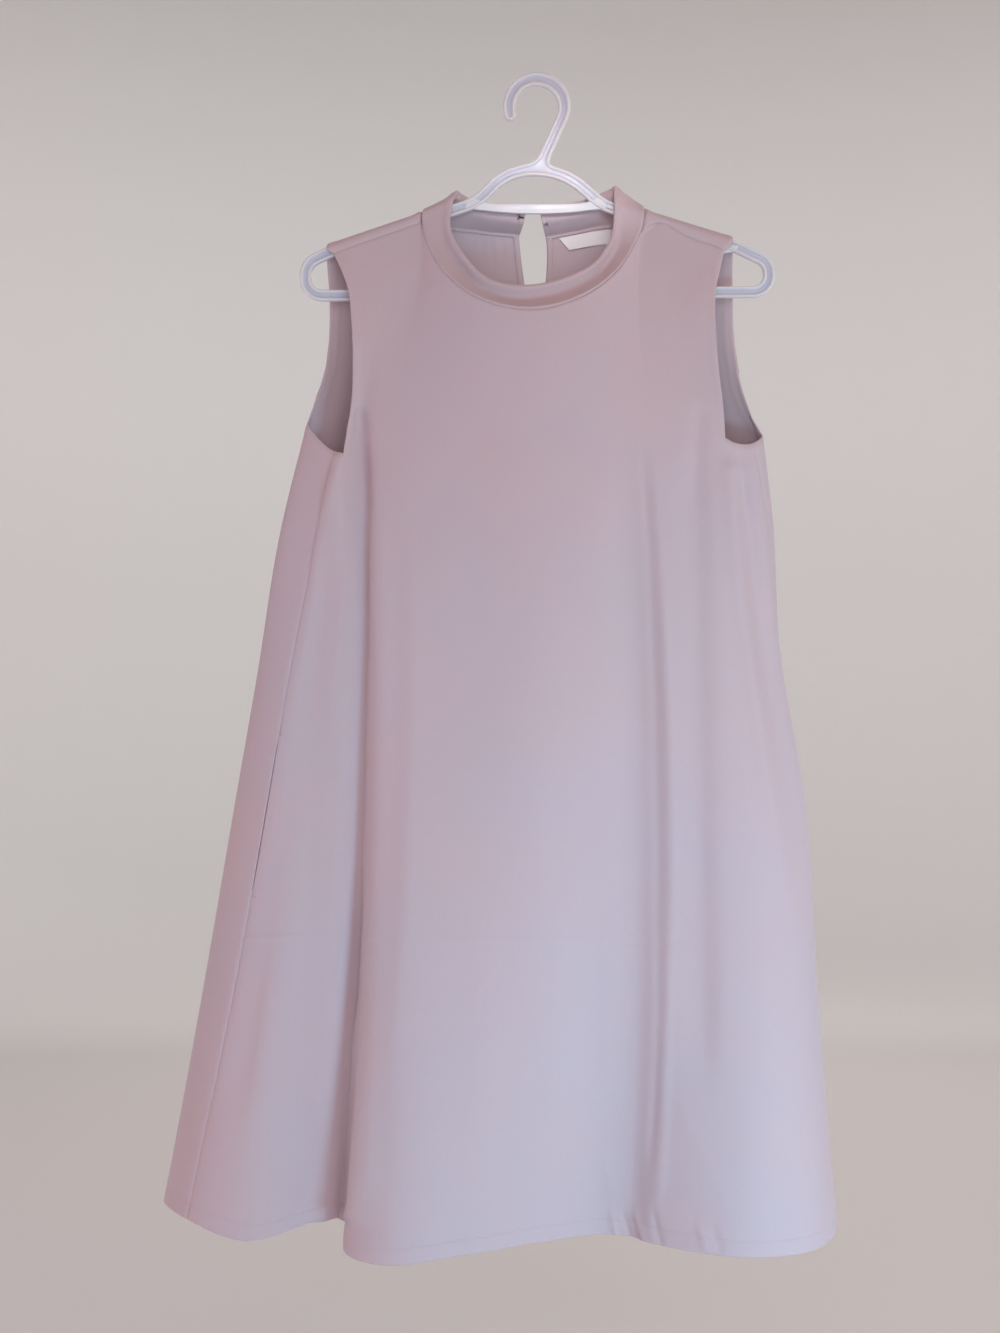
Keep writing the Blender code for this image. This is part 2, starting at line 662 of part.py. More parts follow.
def neck_point_keys(skin):
    """Keys of the skin's points along the neck seam, from slit to slit over the front."""
    centre = skin.columns["back_centre"]
    wrap = len(ARM_WRAP)
    first, last = skin.columns["ridge_left"], skin.columns["ridge_right"]
    turn_left, turn_right = skin.columns["turn_left"], skin.columns["turn_right"]
    keys = [skin.key(centre + step, -BODICE_ROWS, 1) for step in range(BACK_NECK_COLUMNS)]
    keys += [skin.key(turn_left - SHOULDER_COLUMNS, -BODICE_ROWS - step)
             for step in range(wrap)]
    keys += [skin.key(column, -BODICE_ROWS)
             for column in range(first + SHOULDER_COLUMNS, last - SHOULDER_COLUMNS)]
    keys += [skin.key(turn_right + SHOULDER_COLUMNS, -BODICE_ROWS - wrap + step)
             for step in range(wrap)]
    keys += [skin.key(centre - BACK_NECK_COLUMNS + step, -BODICE_ROWS, -1)
             for step in range(BACK_NECK_COLUMNS + 1)]
    return keys


def collar_rings(skin):
    """Sections of the folded collar band, one for each column along the neck seam."""
    seams, tops = neck_curve("seam"), neck_curve("top")
    station = chord_keys([place.seam for place in STATIONS])
    dips = np.interp(neck_keys()[0], station, [place.dip for place in STATIONS])
    rings = []
    for index, (seam, top) in enumerate(zip(seams, tops)):
        before, after = max(index - 1, 0), min(index + 1, len(seams) - 1)
        along = unit(unit(seams[after] - seams[before]) + unit(tops[after] - tops[before]))
        up = unit(top - seam)
        inside = -skin.normal[neck_point_keys(skin)[index]]
        across = unit(np.cross(along, up))
        if np.dot(across, inside) < 0:
            across = -across
        base = seam + up * SEAM_GAP
        outer, inner = [], []
        for row in COLLAR_PROFILE:
            lean = min(row.rise / 0.3, 1.0)
            inwards = unit(inside * (1.0 - lean) + across * lean)
            point = base + (top - base) * row.rise + across * row.dip * dips[index]
            outer.append(point)
            inner.append(point + inwards * row.wall)
        crown = 0.5 * (outer[-1] + inner[-1]) + up * COLLAR_CROWN
        rings.append(outer + [crown] + inner[::-1])
    return rings


# ================================================================ pieces on the inside

def clipped(polygon, region):
    """The part of a polygon inside a convex region, both as lists of (column, row)."""
    area = sum(a[0] * b[1] - b[0] * a[1] for a, b in zip(region, region[1:] + region[:1]))
    side = math.copysign(1.0, area)
    for start, end in zip(region, region[1:] + region[:1]):
        def inside(place):
            return side * ((end[0] - start[0]) * (place[1] - start[1])
                           - (end[1] - start[1]) * (place[0] - start[0]))
        kept = []
        for here, after in zip(polygon, polygon[1:] + polygon[:1]):
            a, b = inside(here), inside(after)
            if a >= 0.0:
                kept.append(here)
            if (a > 0.0 > b) or (a < 0.0 < b):
                share = a / (a - b)
                kept.append((here[0] + (after[0] - here[0]) * share,
                             here[1] + (after[1] - here[1]) * share))
        polygon = kept
        if len(polygon) < 3:
            return []
    return polygon


def weights(corners, place):
    """Weights of a triangle's corners at a place, all in columns and rows."""
    a, b, c = corners
    whole = (b[0] - a[0]) * (c[1] - a[1]) - (b[1] - a[1]) * (c[0] - a[0])
    second = ((place[0] - a[0]) * (c[1] - a[1]) - (place[1] - a[1]) * (c[0] - a[0])) / whole
    third = ((b[0] - a[0]) * (place[1] - a[1]) - (b[1] - a[1]) * (place[0] - a[0])) / whole
    return 1.0 - second - third, second, third


def lie_inside(skin, name, panel, regions, wall, finish):
    """A flat piece on the inside of a panel, over convex regions of columns and rows.

    Its faces are the skin's own, cut at the regions' edges and moved inwards."""
    number, outer, inner, faces = {}, [], [], []
    for owner, corners, places in skin.faces:
        if owner != panel:
            continue
        for region in regions:
            polygon = clipped(list(places), region)
            face = []
            for place in polygon:
                found = (round(place[0], 5), round(place[1], 5))
                if found not in number:
                    share = weights(places, place)
                    point = sum(skin.points[key] * part for key, part in zip(corners, share))
                    normal = sum(skin.normal[key] * part for key, part in zip(corners, share))
                    number[found] = len(outer)
                    outer.append(point - normal * (WALL + LAYER_GAP))
                    inner.append(point - normal * (WALL + LAYER_GAP + wall))
                if number[found] not in face:
                    face.append(number[found])
            if len(face) > 2:
                faces.append(face)
    size = len(outer)
    solid, edges = [], set()
    for face in faces:
        solid.append(tuple(face))
        solid.append(tuple(corner + size for corner in reversed(face)))
        edges.update(zip(face, face[1:] + face[:1]))
    for a, b in sorted(edges):
        if (b, a) not in edges:
            solid.append((b, a, a + size, b + size))
    return make_object(name, outer + inner, solid, finish)


def row_at(skin, column, z):
    """The fractional body row where a column reaches a height."""
    top = skin.points[skin.key(column, 0)][2]
    end = skin.points[skin.key(column, BODY_ROWS)][2]
    return BODY_ROWS * (z - top) / (end - top)


def pocket_bag(skin, name, seam, reach, finish):
    """A pocket bag inside the front panel, from a side seam towards the centre."""
    top = row_at(skin, seam, POCKET_BAG_TOP_Z)
    end = row_at(skin, seam, POCKET_BAG_END_Z)
    start = seam + math.copysign(0.12, reach)
    outline = ((0.0, 0.0), (0.55, 0.04), (0.8, 0.18), (1.0, 0.48), (1.0, 0.72),
               (0.93, 0.87), (0.78, 0.97), (0.6, 1.0), (0.3, 0.97), (0.0, 0.84))
    region = [(start + reach * across, top + (end - top) * down) for across, down in outline]
    return lie_inside(skin, name, "front", [region], POCKET_BAG_WALL, finish)


def slit_binding(skin, name, side, finish):
    """The narrow strip along one edge of the slit, inside the back panel."""
    centre = skin.columns["back_centre"]
    direction = 1 if side == "left" else -1
    first = centre if side == "left" else centre - 1
    regions = []
    for row in range(-BODICE_ROWS, -SLIT_ROWS - 1):
        ends = []
        for level in (max(row, -BODICE_ROWS + 0.1), row + 1):
            width = BINDING_WIDTH / skin.width(first, round(level))
            ends.append(((centre + direction * 0.02, level), (centre + direction * width, level)))
        regions.append([ends[0][0], ends[0][1], ends[1][1], ends[1][0]])
    return lie_inside(skin, name, "back", regions, BINDING_WALL, finish)


def neck_label(skin, name, finish):
    """The blank tape that hangs from the back neck seam, right of the slit."""
    centre = skin.columns["back_centre"]
    seam = neck_run("slit_right", "nape_right")
    lengths = chord_keys(seam)
    count = np.arange(len(seam))
    stops = sorted({LABEL_START, LABEL_START + LABEL_MITRE, LABEL_START + LABEL_LENGTH}
                   | {float(length) for length in lengths
                      if LABEL_START < length < LABEL_START + LABEL_LENGTH})
    top, bottom = [], []
    for length in stops:
        back = float(np.interp(length, lengths, count))
        column = centre - back
        nearest = round(column)
        drop = LABEL_HEIGHT / skin.height(nearest, -BODICE_ROWS, -1)
        top.append((column, -BODICE_ROWS + 0.03))
        bottom.append((column, -BODICE_ROWS + 0.03 + drop))
    regions = [[top[0], top[1], bottom[1]]]
    for index in range(1, len(stops) - 1):
        regions.append([top[index], top[index + 1], bottom[index + 1], bottom[index]])
    return lie_inside(skin, name, "back", regions, LABEL_WALL, finish)


def wire(skin, name, end, outline, finish):
    """A bent wire on the inner face of the collar, beside one edge of the slit.

    outline gives its points as distances along the collar and up it."""
    rings = collar_rings(skin)
    ring, beside = (rings[0], rings[1]) if end == "left" else (rings[-1], rings[-2])
    count = len(COLLAR_PROFILE)
    inner = np.array(ring[count + 1:][::-1])
    inner_beside = np.array(beside[count + 1:][::-1])
    rises = [row.rise for row in COLLAR_PROFILE]
    at = [np.interp(WIRE_HEIGHT, rises, inner[:, axis]) for axis in range(3)]
    at_beside = [np.interp(WIRE_HEIGHT, rises, inner_beside[:, axis]) for axis in range(3)]
    at = np.array(at)
    along = unit(at - np.array(at_beside))
    up = unit(inner[-1] - inner[0])
    out = unit(np.cross(along, up))
    if out[1] > 0:
        out = -out
    path = [at + along * a + up * b + out * (0.5 * WIRE + LAYER_GAP + c) for a, b, c in outline]
    curve = bpy.data.curves.new(name, "CURVE")
    curve.dimensions = "3D"
    curve.bevel_depth = 0.5 * WIRE * MM
    curve.bevel_resolution = 1
    curve.use_fill_caps = True
    spline = curve.splines.new("POLY")
    spline.points.add(len(path) - 1)
    for slot, point in zip(spline.points, path):
        slot.co = (*(point * MM), 1.0)
    curve.materials.append(finish)
    made = bpy.data.objects.new(name, curve)
    bpy.context.scene.collection.objects.link(made)
    return made


# ================================================================ hanger

def rounded_loop(corners):
    """Points of a closed outline in x and z whose corners are rounded by arcs."""
    found = []
    count = len(corners)
    for index, corner in enumerate(corners):
        here = np.array([corner.x, corner.z])
        before = corners[index - 1]
        after = corners[(index + 1) % count]
        back = unit(np.array([before.x, before.z]) - here)
        ahead = unit(np.array([after.x, after.z]) - here)
        turn = math.pi - math.acos(float(np.clip(np.dot(back, ahead), -1.0, 1.0)))
        reach = corner.radius * math.tan(0.5 * turn)
        centre = here + unit(back + ahead) * corner.radius / math.cos(0.5 * turn)
        start = here + back * reach - centre
        side = math.copysign(1.0, back[1] * ahead[0] - back[0] * ahead[1])
        steps = max(2, math.ceil(math.degrees(turn) / ARC_STEP))
        for step in range(steps + 1):
            angle = side * turn * step / steps
            cos, sin = math.cos(angle), math.sin(angle)
            found.append(centre + np.array([start[0] * cos - start[1] * sin,
                                            start[0] * sin + start[1] * cos]))
    return found


def moulding_section(depth):
    """The moulding's section: two rounded ridges with a groove on each face."""
    edge, half = 0.5 * FACE, 0.5 * depth
    ridge = 0.5 * GROOVE
    side = [(edge, 0.36 * half), (edge - 1.0, half), (ridge + 1.1, half),
            (ridge, half - GROOVE_DEPTH)]
    front = side + [(-across, deep) for across, deep in reversed(side)]
    return front + [(-across, -deep) for across, deep in front]


def direction(path, index, closed):
    """Direction of a path at one of its points."""
    steps = []
    if closed or index > 0:
        steps.append(unit(path[index] - path[index - 1]))
    if closed or index < len(path) - 1:
        steps.append(unit(path[(index + 1) % len(path)] - path[index]))
    return unit(sum(steps))


def sweep(path, section, closed, widen=None):
    """Rings of the section along a path in x and z."""
    rings = []
    for index, place in enumerate(path):
        tangent = direction(path, index, closed)
        across = np.array([-tangent[1], tangent[0]])
        scale = widen(index / (len(path) - 1)) if widen else 1.0
        rings.append([(place[0] + across[0] * a * scale, y, place[1] + across[1] * a * scale)
                      for a, y in section])
    return rings


def hook_path():
    """The stem and the hook, from inside the arch to the tip."""
    centre = np.array([HOOK_CENTRE_X, -HOOK_RADIUS + 0.5 * FACE * HOOK_WIDEN])
    angles = np.radians(np.linspace(HOOK_START, HOOK_END, HOOK_SEGMENTS + 1))
    arc = [centre + HOOK_RADIUS * np.array([math.cos(a), math.sin(a)]) for a in angles]
    down = np.array([math.sin(angles[0]), -math.cos(angles[0])])
    stem = [arc[0] + down * STEM_LENGTH * share for share in (1.0, 0.5)]
    return stem + arc


def hook_widen(share):
    """How much wider the hook is, along its path."""
    over_top = math.exp(-((share - 0.62) / 0.2)**2)
    tip = 0.45 * max(0.0, (share - 0.955) / 0.045)
    return 1.0 + (HOOK_WIDEN - 1.0) * over_top - tip


def neck_bar_rings():
    """The flat bar that joins the two flanks of the arch behind the neck."""
    (x0, z0), (x1, z1) = NECK_BAR_ENDS
    rings = []
    for step in range(NECK_BAR_SEGMENTS + 1):
        share = step / NECK_BAR_SEGMENTS
        sag = NECK_BAR_SAG * (1.0 - (2.0 * share - 1.0)**4)
        x, z = x0 + (x1 - x0) * share, z0 + (z1 - z0) * share - sag
        half, deep = 0.5 * NECK_BAR_HEIGHT, 0.5 * NECK_BAR_DEPTH
        rings.append([(x, -deep, z - half), (x, deep, z - half),
                      (x, deep, z + half), (x, -deep, z + half)])
    return rings


def fix_outside(made):
    """Turn a solid's faces outwards where its rings were wound the other way."""
    mesh = made.data
    volume = 0.0
    for face in mesh.polygons:
        points = [mesh.vertices[index].co for index in face.vertices]
        for a, b in zip(points[1:], points[2:]):
            volume += points[0].dot(a.cross(b))
    if volume < 0.0:
        mesh.flip_normals()
    return made


def join_solids(base, others):
    """Union the other solids into the base with Boolean modifiers."""
    for other in others:
        cut = base.modifiers.new("join_" + other.name, "BOOLEAN")
        cut.operation = "UNION"
        cut.solver = "EXACT"
        cut.object = other
        other.hide_render = True
        other.display_type = "WIRE"


def hanger(finish):
    """The moulded hanger: loop, hook, neck bar and webs, in one solid."""
    body = fix_outside(ring_solid(
        "hanger", sweep(rounded_loop(HANGER_CORNERS), moulding_section(DEPTH), True),
        finish, closed=True))
    hook = fix_outside(ring_solid(
        "hook", sweep(hook_path(), moulding_section(HOOK_DEPTH), False, hook_widen), finish))
    bar = fix_outside(ring_solid("neck_bar", neck_bar_rings(), finish))
    webs = []
    for index, outline in enumerate(WEBS):
        rings = [[(x, y, z) for x, z in outline] for y in (-0.5 * WEB_DEPTH, 0.5 * WEB_DEPTH)]
        webs.append(fix_outside(ring_solid("web_%d" % index, rings, finish)))
    join_solids(body, [hook, bar] + webs)
    return body


# ================================================================ the dress

def build():
    """Clear the scene and make every piece."""
    for thing in list(bpy.data.objects):
        bpy.data.objects.remove(thing, do_unlink=True)

    cloth = material("crepe", CLOTH_COLOUR, 0.85)
    collar_cloth = material("crepe_collar", CLOTH_COLOUR, 0.85)
    tape = material("label_tape", LABEL_COLOUR, 0.6)
    plastic = material("white_plastic", HANGER_COLOUR, 0.35)
    dark_wire = material("dark_wire", WIRE_COLOUR, 0.4, 0.8)

    skin = dress_skin()
    make_panel(skin, "front", "front_panel", cloth)
    make_panel(skin, "back", "back_panel", cloth)
    fix_outside(ring_solid("collar", collar_rings(skin), collar_cloth))
    slit_binding(skin, "slit_binding_left", "left", cloth)
    slit_binding(skin, "slit_binding_right", "right", cloth)
    neck_label(skin, "neck_label", tape)
    columns = skin.columns
    pocket_bag(skin, "pocket_bag_left", columns["seam_left"], 7.0, cloth)
    pocket_bag(skin, "pocket_bag_right", columns["seam_right"], -8.0, cloth)
    wire(skin, "neck_hook", "left", HOOK_WIRE, dark_wire)
    wire(skin, "neck_eye", "right", EYE_WIRE, dark_wire)
    hanger(plastic)


build()
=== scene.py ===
import math
from collections import namedtuple

import bmesh
import bpy
import numpy as np
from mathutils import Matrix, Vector


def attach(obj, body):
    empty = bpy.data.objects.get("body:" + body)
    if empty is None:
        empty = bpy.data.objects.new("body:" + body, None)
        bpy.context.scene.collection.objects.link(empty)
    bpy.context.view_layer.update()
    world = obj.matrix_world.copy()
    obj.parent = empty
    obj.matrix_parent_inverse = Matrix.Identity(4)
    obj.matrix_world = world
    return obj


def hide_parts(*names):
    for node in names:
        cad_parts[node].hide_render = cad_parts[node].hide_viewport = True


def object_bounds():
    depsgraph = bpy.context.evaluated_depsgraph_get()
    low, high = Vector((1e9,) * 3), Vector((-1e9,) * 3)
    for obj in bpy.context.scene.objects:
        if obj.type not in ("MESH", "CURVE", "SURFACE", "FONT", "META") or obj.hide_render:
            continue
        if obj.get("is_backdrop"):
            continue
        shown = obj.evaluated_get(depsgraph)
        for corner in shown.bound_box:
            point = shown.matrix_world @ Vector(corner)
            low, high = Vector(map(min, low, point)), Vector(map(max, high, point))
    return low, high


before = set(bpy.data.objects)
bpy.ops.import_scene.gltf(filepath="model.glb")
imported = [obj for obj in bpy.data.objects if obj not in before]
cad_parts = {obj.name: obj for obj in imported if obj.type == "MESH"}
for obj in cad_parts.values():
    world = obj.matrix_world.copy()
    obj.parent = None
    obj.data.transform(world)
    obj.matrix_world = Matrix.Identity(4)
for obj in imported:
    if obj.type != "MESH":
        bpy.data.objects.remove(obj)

# The looks of a sleeveless shift dress on a moulded hanger. Lengths are millimetres, and
# make_mesh turns them into metres. +Z is up, the front faces -Y, and the hanger lies in
# the plane y = 0 with the inside top of its hook at the origin.

CAD_BOX = [list(corner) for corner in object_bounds()]
MM = 0.001

# ---------------------------------------------------------------- the view

VIEW_X, VIEW_Z = -30.9, -512.7      # the line of sight, level and along +Y
VIEW_DISTANCE = 1700.0
PICTURE_WIDTH, PICTURE_HEIGHT = 1000, 1333
PIXEL = 0.884                       # size of a picture element at y = 0
SENSOR = 36.0

# ---------------------------------------------------------------- the cloth's form

TUBE_TIP = 0.55                     # how narrow a thread or a wire is at its ends
LEVEL_Z = (-400.0, -500.0, -620.0, -800.0)
Line = namedtuple("Line", "name arm bust waist hip thigh hem steps")
LINES = (
    Line("seam_left", (-176, -23, -325), (-191, -28), (-211, -33), (-231, -36), (-263, -40),
         (-301, -45, -988), 2),
    Line("ridge_left", (-167, -28, -327), (-184, -33), (-200, -39), (-214, -45), (-233, -58),
         (-246, -72, -999), 2),
    Line("valley_left", (-151, -23, -325), (-147, -27), (-146, -35), (-148, -41), (-155, -47),
         (-166, -46, -986), 3),
    Line("edge_left", (-139, -29, -324), (-136, -38), (-134, -50), (-134, -62), (-141, -76),
         (-160.5, -90, -1004), 2),
    Line("peak_left", (-119, -36, -323), (-115, -48), (-112, -61), (-112, -77), (-118, -97),
         (-128, -115, -1006), 4),
    Line("mid_left", (-62, -48, -323), (-60, -57), (-58, -69), (-57, -84), (-57, -102),
         (-58, -110, -999), 4),
    Line("centre", (0, -54, -322), (2, -62), (4, -73), (6, -83), (9, -92), (14, -86, -994), 3),
    Line("recess_right", (48, -51, -321), (50, -57), (52, -65), (53, -71), (55, -73),
         (58, -62, -996), 3),
    Line("valley_right", (80, -45, -320), (84, -48), (88, -54), (89, -60), (86, -67),
         (80, -66, -997), 2),
    Line("crest_right", (97, -43, -320), (105, -50), (112, -60), (113, -68), (108, -78),
         (97, -82, -998), 7),
    Line("ridge_right", (165, -28, -314), (171, -36), (180, -43), (194, -56), (190, -84),
         (176, -114, -1000), 3),
    Line("dip_right", (173, -26, -318), (184, -24), (194, -27), (213, -37), (226, -60),
         (233, -87, -1002), 2),
    Line("side_right", (185, -21, -319), (201.5, -16), (212, -12), (235, -14), (246, -24),
         (257, -49, -999), 2),
    Line("seam_right", (192, -17, -317), (208, -7), (216.5, 1), (235.5, 6), (246.5, 8),
         (261, 12, -988), 2),
    Line("turn_right", (201, -3, -309), (213, 6), (214.5, 14), (226, 23), (237, 31),
         (250, 39, -987), 3),
    Line("back_dip_right", (172, 20, -306), (180, 26), (183, 30), (187, 35), (194, 43),
         (202, 50, -990), 3),
    Line("back_crest_right", (118, 31, -308), (120, 37), (120, 46), (121, 58), (126, 76),
         (134, 92, -997), 3),
    Line("back_mid_right", (58, 36, -310), (59, 41), (60, 48), (60, 56), (61, 64),
         (62, 70, -994), 3),
    Line("back_centre", (-2, 38, -310), (0, 43), (0, 51), (0, 62), (0, 76), (0, 86, -997), 3),
    Line("back_mid_left", (-60, 36, -310), (-61, 41), (-63, 47), (-65, 54), (-68, 62),
         (-72, 66, -993), 3),
    Line("back_crest_left", (-122, 31, -308), (-126, 38), (-131, 47), (-138, 60), (-148, 78),
         (-158, 94, -998), 3),
    Line("back_dip_left", (-176, 20, -304), (-187, 24), (-196, 29), (-208, 34), (-228, 42),
         (-246, 50, -991), 3),
    Line("turn_left", (-201, 3, -296), (-227, 0), (-242, 1), (-263, 2), (-294, 5),
         (-328, 9, -985), 4),
)

# The free edges beside the armholes, by x, y and z from the underarm up.
FRONT_EDGE_LEFT = (
    (-164, -26, -306), (-160, -25, -287), (-159, -22, -253),
    (-160.5, -18, -209), (-164.5, -14, -178), (-170, -11, -164),
)
FRONT_EDGE_RIGHT = (
    (163, -26, -286), (160, -22, -254), (158, -20, -229),
    (157.5, -15, -189), (158.5, -13, -178), (161.5, -10, -167),
)
BACK_EDGE_RIGHT = (
    (191, 8, -288), (184, 14, -268), (180, 18, -242),
    (177, 20, -214), (176.5, 19, -187), (175.5, 13, -155),
)
BACK_EDGE_LEFT = (
    (-197, 10, -282), (-190, 16, -263), (-185, 19, -242),
    (-183, 20, -217), (-182.5, 19, -187), (-184, 13, -158),
)

SlitLevel = namedtuple("SlitLevel", "z left right")
SLIT = (
    SlitLevel(-126, -14.4, 10.9), SlitLevel(-140, -13.2, 11.8), SlitLevel(-168, -9.5, 10.6),
    SlitLevel(-210, -4.0, 6.5), SlitLevel(-249, 0.5, 0.5), SlitLevel(-310, -2.0, -2.0),
)

Station = namedtuple("Station", "name seam top dip")
STATIONS = (
    Station("slit_left", (-14.4, 28, -126.6), (-8.0, 8.8, -106.0), 1.0),
    Station("back_left", (-50, 24, -124.3), (-45, 8.8, -101.5), 1.0),
    Station("nape_left", (-93, 11, -117.0), (-62, 8.6, -95.8), 0.5),
    Station("behind_left", (-98, 5.7, -112.0), (-67.5, 5.4, -93.2), 0.2),
    Station("side_left", (-100, 0, -109.6), (-70, 0, -92.0), 0.15),
    Station("before_left", (-100.6, -5.7, -113.0), (-72.5, -7.2, -99.0), 0.2),
    Station("shoulder_left", (-100.4, -7.6, -121.8), (-74.4, -9.0, -108.0), 0.2),
    Station("front_side_left", (-94.4, -17, -145), (-76.0, -14, -125.5), 0.6),
    Station("front_left", (-75.5, -32, -175), (-64.0, -23, -151.5), 1.0),
    Station("front_mid_left", (-50.5, -43, -194.4), (-45.0, -32.5, -173.5), 1.0),
    Station("centre", (0, -50, -205.5), (-3.0, -38, -182.6), 1.0),
    Station("front_mid_right", (46.6, -43, -189.8), (41.0, -32, -168.5), 1.0),
    Station("front_right", (73.3, -30, -166), (59.0, -23, -152.0), 1.0),
    Station("front_side_right", (89.0, -16.5, -139.5), (69.5, -13.5, -128.0), 0.5),
    Station("shoulder_right", (93.3, -11.6, -130.5), (70.8, -10.8, -115.0), 0.2),
    Station("before_right", (97.4, -6.4, -111.8), (71.3, -8.2, -99.0), 0.2),
    Station("side_right", (97, 0, -107.0), (72.0, 0, -88.0), 0.1),
    Station("behind_right", (95.6, 5.8, -110.0), (69.0, 6.0, -89.4), 0.2),
    Station("nape_right", (91, 11, -114.8), (63.5, 8.6, -91.6), 0.5),
    Station("back_right", (49.8, 24, -121.8), (45.0, 8.8, -98.5), 1.0),
    Station("slit_right", (10.9, 28, -128.6), (4.5, 8.8, -106.5), 1.0),
)
Profile = namedtuple("Profile", "rise dip wall")
COLLAR_PROFILE = (
    Profile(0.00, 0.0, 1.8), Profile(0.12, 0.8, 2.0), Profile(0.30, 2.8, 2.0),
    Profile(0.48, 4.8, 2.0), Profile(0.61, 6.0, 2.0), Profile(0.71, 6.0, 2.3),
    Profile(0.79, 4.0, 3.6), Profile(0.86, 1.2, 5.2), Profile(0.93, 0.1, 5.2),
    Profile(1.00, 0.5, 3.2),
)

# The shoulder seams by x, y and how far they lie below the cloth's fold over the hanger's
# arm, where that fold and the back have their tips, and the wrap over the arm by y and drop.
SHOULDER_SEAM = {
    "left": ((-177, -7.4, 11.6), (-166, -7.4, 11.0), (-155, -7.4, 10.8), (-144, -7.4, 10.6),
             (-133, -7.4, 10.6), (-122, -7.4, 10.5), (-111, -7.4, 10.4), (-100.4, -7.4, 10.3)),
    "right": ((166, -7.6, 16.6), (155, -7.4, 14.4), (145, -7.4, 14.5), (134.5, -7.4, 14.0),
              (124.5, -7.4, 11.2), (114.5, -7.4, 8.4), (103.5, -8.4, 11.8), (93.3, -11.6, 21.5)),
}
TIP_FOLD_X = {"left": -183, "right": 174}
TIP_BACK_X = {"left": -184.5, "right": 175.5}
ARM_WRAP = ((-7.2, 4.8), (-4.7, 1.1), (0.0, 0.0), (4.7, 1.1), (7.2, 4.8), (8.2, 10.0))

# The net of points: columns and rows between those that the tables give.
COLUMNS, ROWS, WRAP_ROWS = 5, 6, 6
BODICE_LEVELS, BODY_LEVELS = 9, 20   # the rows in which small pieces give their places
BODY_ROWS, BODICE_ROWS, SLIT_ROWS = 126, BODICE_LEVELS * ROWS, 13
SHOULDER_COLUMNS = (len(SHOULDER_SEAM["left"]) - 1) * COLUMNS
FRONT_NECK_COLUMNS, BACK_NECK_COLUMNS = 16 * COLUMNS, 5 * COLUMNS
STRIP_ROWS = len(ARM_WRAP) * WRAP_ROWS
CROWDED = ("seam_left", "seam_right", "valley_left")
SEAM_CROWD = 1.7                    # how much the columns crowd towards these lines
TOP_CROWD = 1.4725                  # how much the rows crowd towards the neck and shoulders
# Rows above the hem, close enough for its fold and its stitching.
HEM_ROWS = (0, .5, 1.3, 2.6, 4.4, 6.4, 8.4, 10.2, 11.4, 12.2, 12.8, 13.4, 14.2, 15.4, 17,
            19.5, 23, 27.5)
HEM_REACH = 33.0                    # above the hem, where the body's even rows end
BODY_LENGTH = 680.0                 # from the underarms to the hem, nearly
# Where the crease from storage crosses, down the body, and the extra rows on its two sides.
STORAGE_ROW, STORAGE_REACH, STORAGE_ROWS = 0.634, 13.0, 16

WALL, LAYER_GAP = 0.9, 0.3          # one layer of the cloth, and the air between two
FACING_WALL = 0.65                  # what the turned-in layer adds along the armholes
FACING = 7.5                        # how wide that layer is
HEM_DEPTH = 12.6                    # from the hem's fold to its stitching
SEAM_ROLL, SEWN_ROLL = 0.5, 0.05    # how far a panel's rim stands out, free and sewn
SMOOTH_ROUNDS = 44                  # softens the change of form from level to level
POCKET_TOP_Z, POCKET_END_Z = -571.0, -710.0
POCKET_GAPE = {"front": 1.3, "back": 0.4}   # how far each side of a pocket slit stands off
POCKET_EASE = 16.0                  # how far along the slit its two ends close

# ---------------------------------------------------------------- the hanger's form

FACE, HALF_DEPTH, HOOK_HALF_DEPTH = 10.5, 3.3, 3.7
ARM_CLEARANCE, ARM_WALL = 0.5, 1.5
Corner = namedtuple("Corner", "name x z radius")
HANGER_CORNERS = (
    Corner("bar_left", -202.7, -185.0, 15.4),
    Corner("bar_right", 206.8, -181.6, 14.2),
    Corner("loop_right", 206.8, -155.6, 14.8),
    Corner("bend_right", 174.1, -140.5, 40.0),
    Corner("foot_right", 57.8, -104.6, 38.0),
    Corner("arch_right", 37.2, -84.0, 37.0),
    Corner("crown_right", 15.8, -75.0, 34.0),
    Corner("crown_left", -7.6, -74.1, 40.0),
    Corner("arch_left", -27.9, -79.2, 29.0),
    Corner("foot_left", -51.0, -102.3, 18.0),
    Corner("bend_left", -180.7, -146.3, 40.0),
    Corner("loop_left", -202.7, -156.8, 16.0),
)
# The arch's centre line between its two feet, which run out into the arms.
ARCH = ((-69.8, -108.7), (-59.2, -105.1), (-50.6, -100.6), (-43.3, -94.4), (-32.7, -84.4),
        (-22.1, -78.1), (-11.5, -75.0), (-3.0, -74.1), (4.5, -74.3), (15.1, -75.9),
        (25.7, -79.4), (36.3, -85.2), (46.9, -93.8), (57.5, -102.6), (63.6, -106.0),
        (70.8, -108.6))
HOOK_RADIUS, HOOK_WIDEN, HOOK_CENTRE_X = 24.4, 1.19, 1.5
HOOK_START, HOOK_END, STEM_LENGTH = -24.0, 196.0, 51.0
STEM_LEFT_Z, STEM_RIGHT_Z = -60.5, -64.5    # where the stem's sides pass into the arch
STEM_CUT_LEFT, STEM_CUT_RIGHT = -15.5, 16.5  # the arch is open for the stem between these,
STEM_CUT_Z = -100.0                 # above this height
HOOK_WIDE_Z, HOOK_DEEP_Z = -60.0, -52.0     # where the hook's own width and depth start
FOOT_MARGIN, ARCH_LEAD = 4.0, 8.0   # how far the arch reaches past its feet, down and along
TIP_BULGE, FILLET_REACH, BEVEL = 1.12, 0.42, 0.12
MOULDING_STEP, OUTLINE_STEP, PLATE_STEP = 1.5, 1.6, 1.2
ROUNDING_STEP = 4.0                 # degrees
WEB_LEAST, WEB_HALF = 1.2, 1.95     # the grooves' floor lies between these, from the middle, and takes the painted groove shade
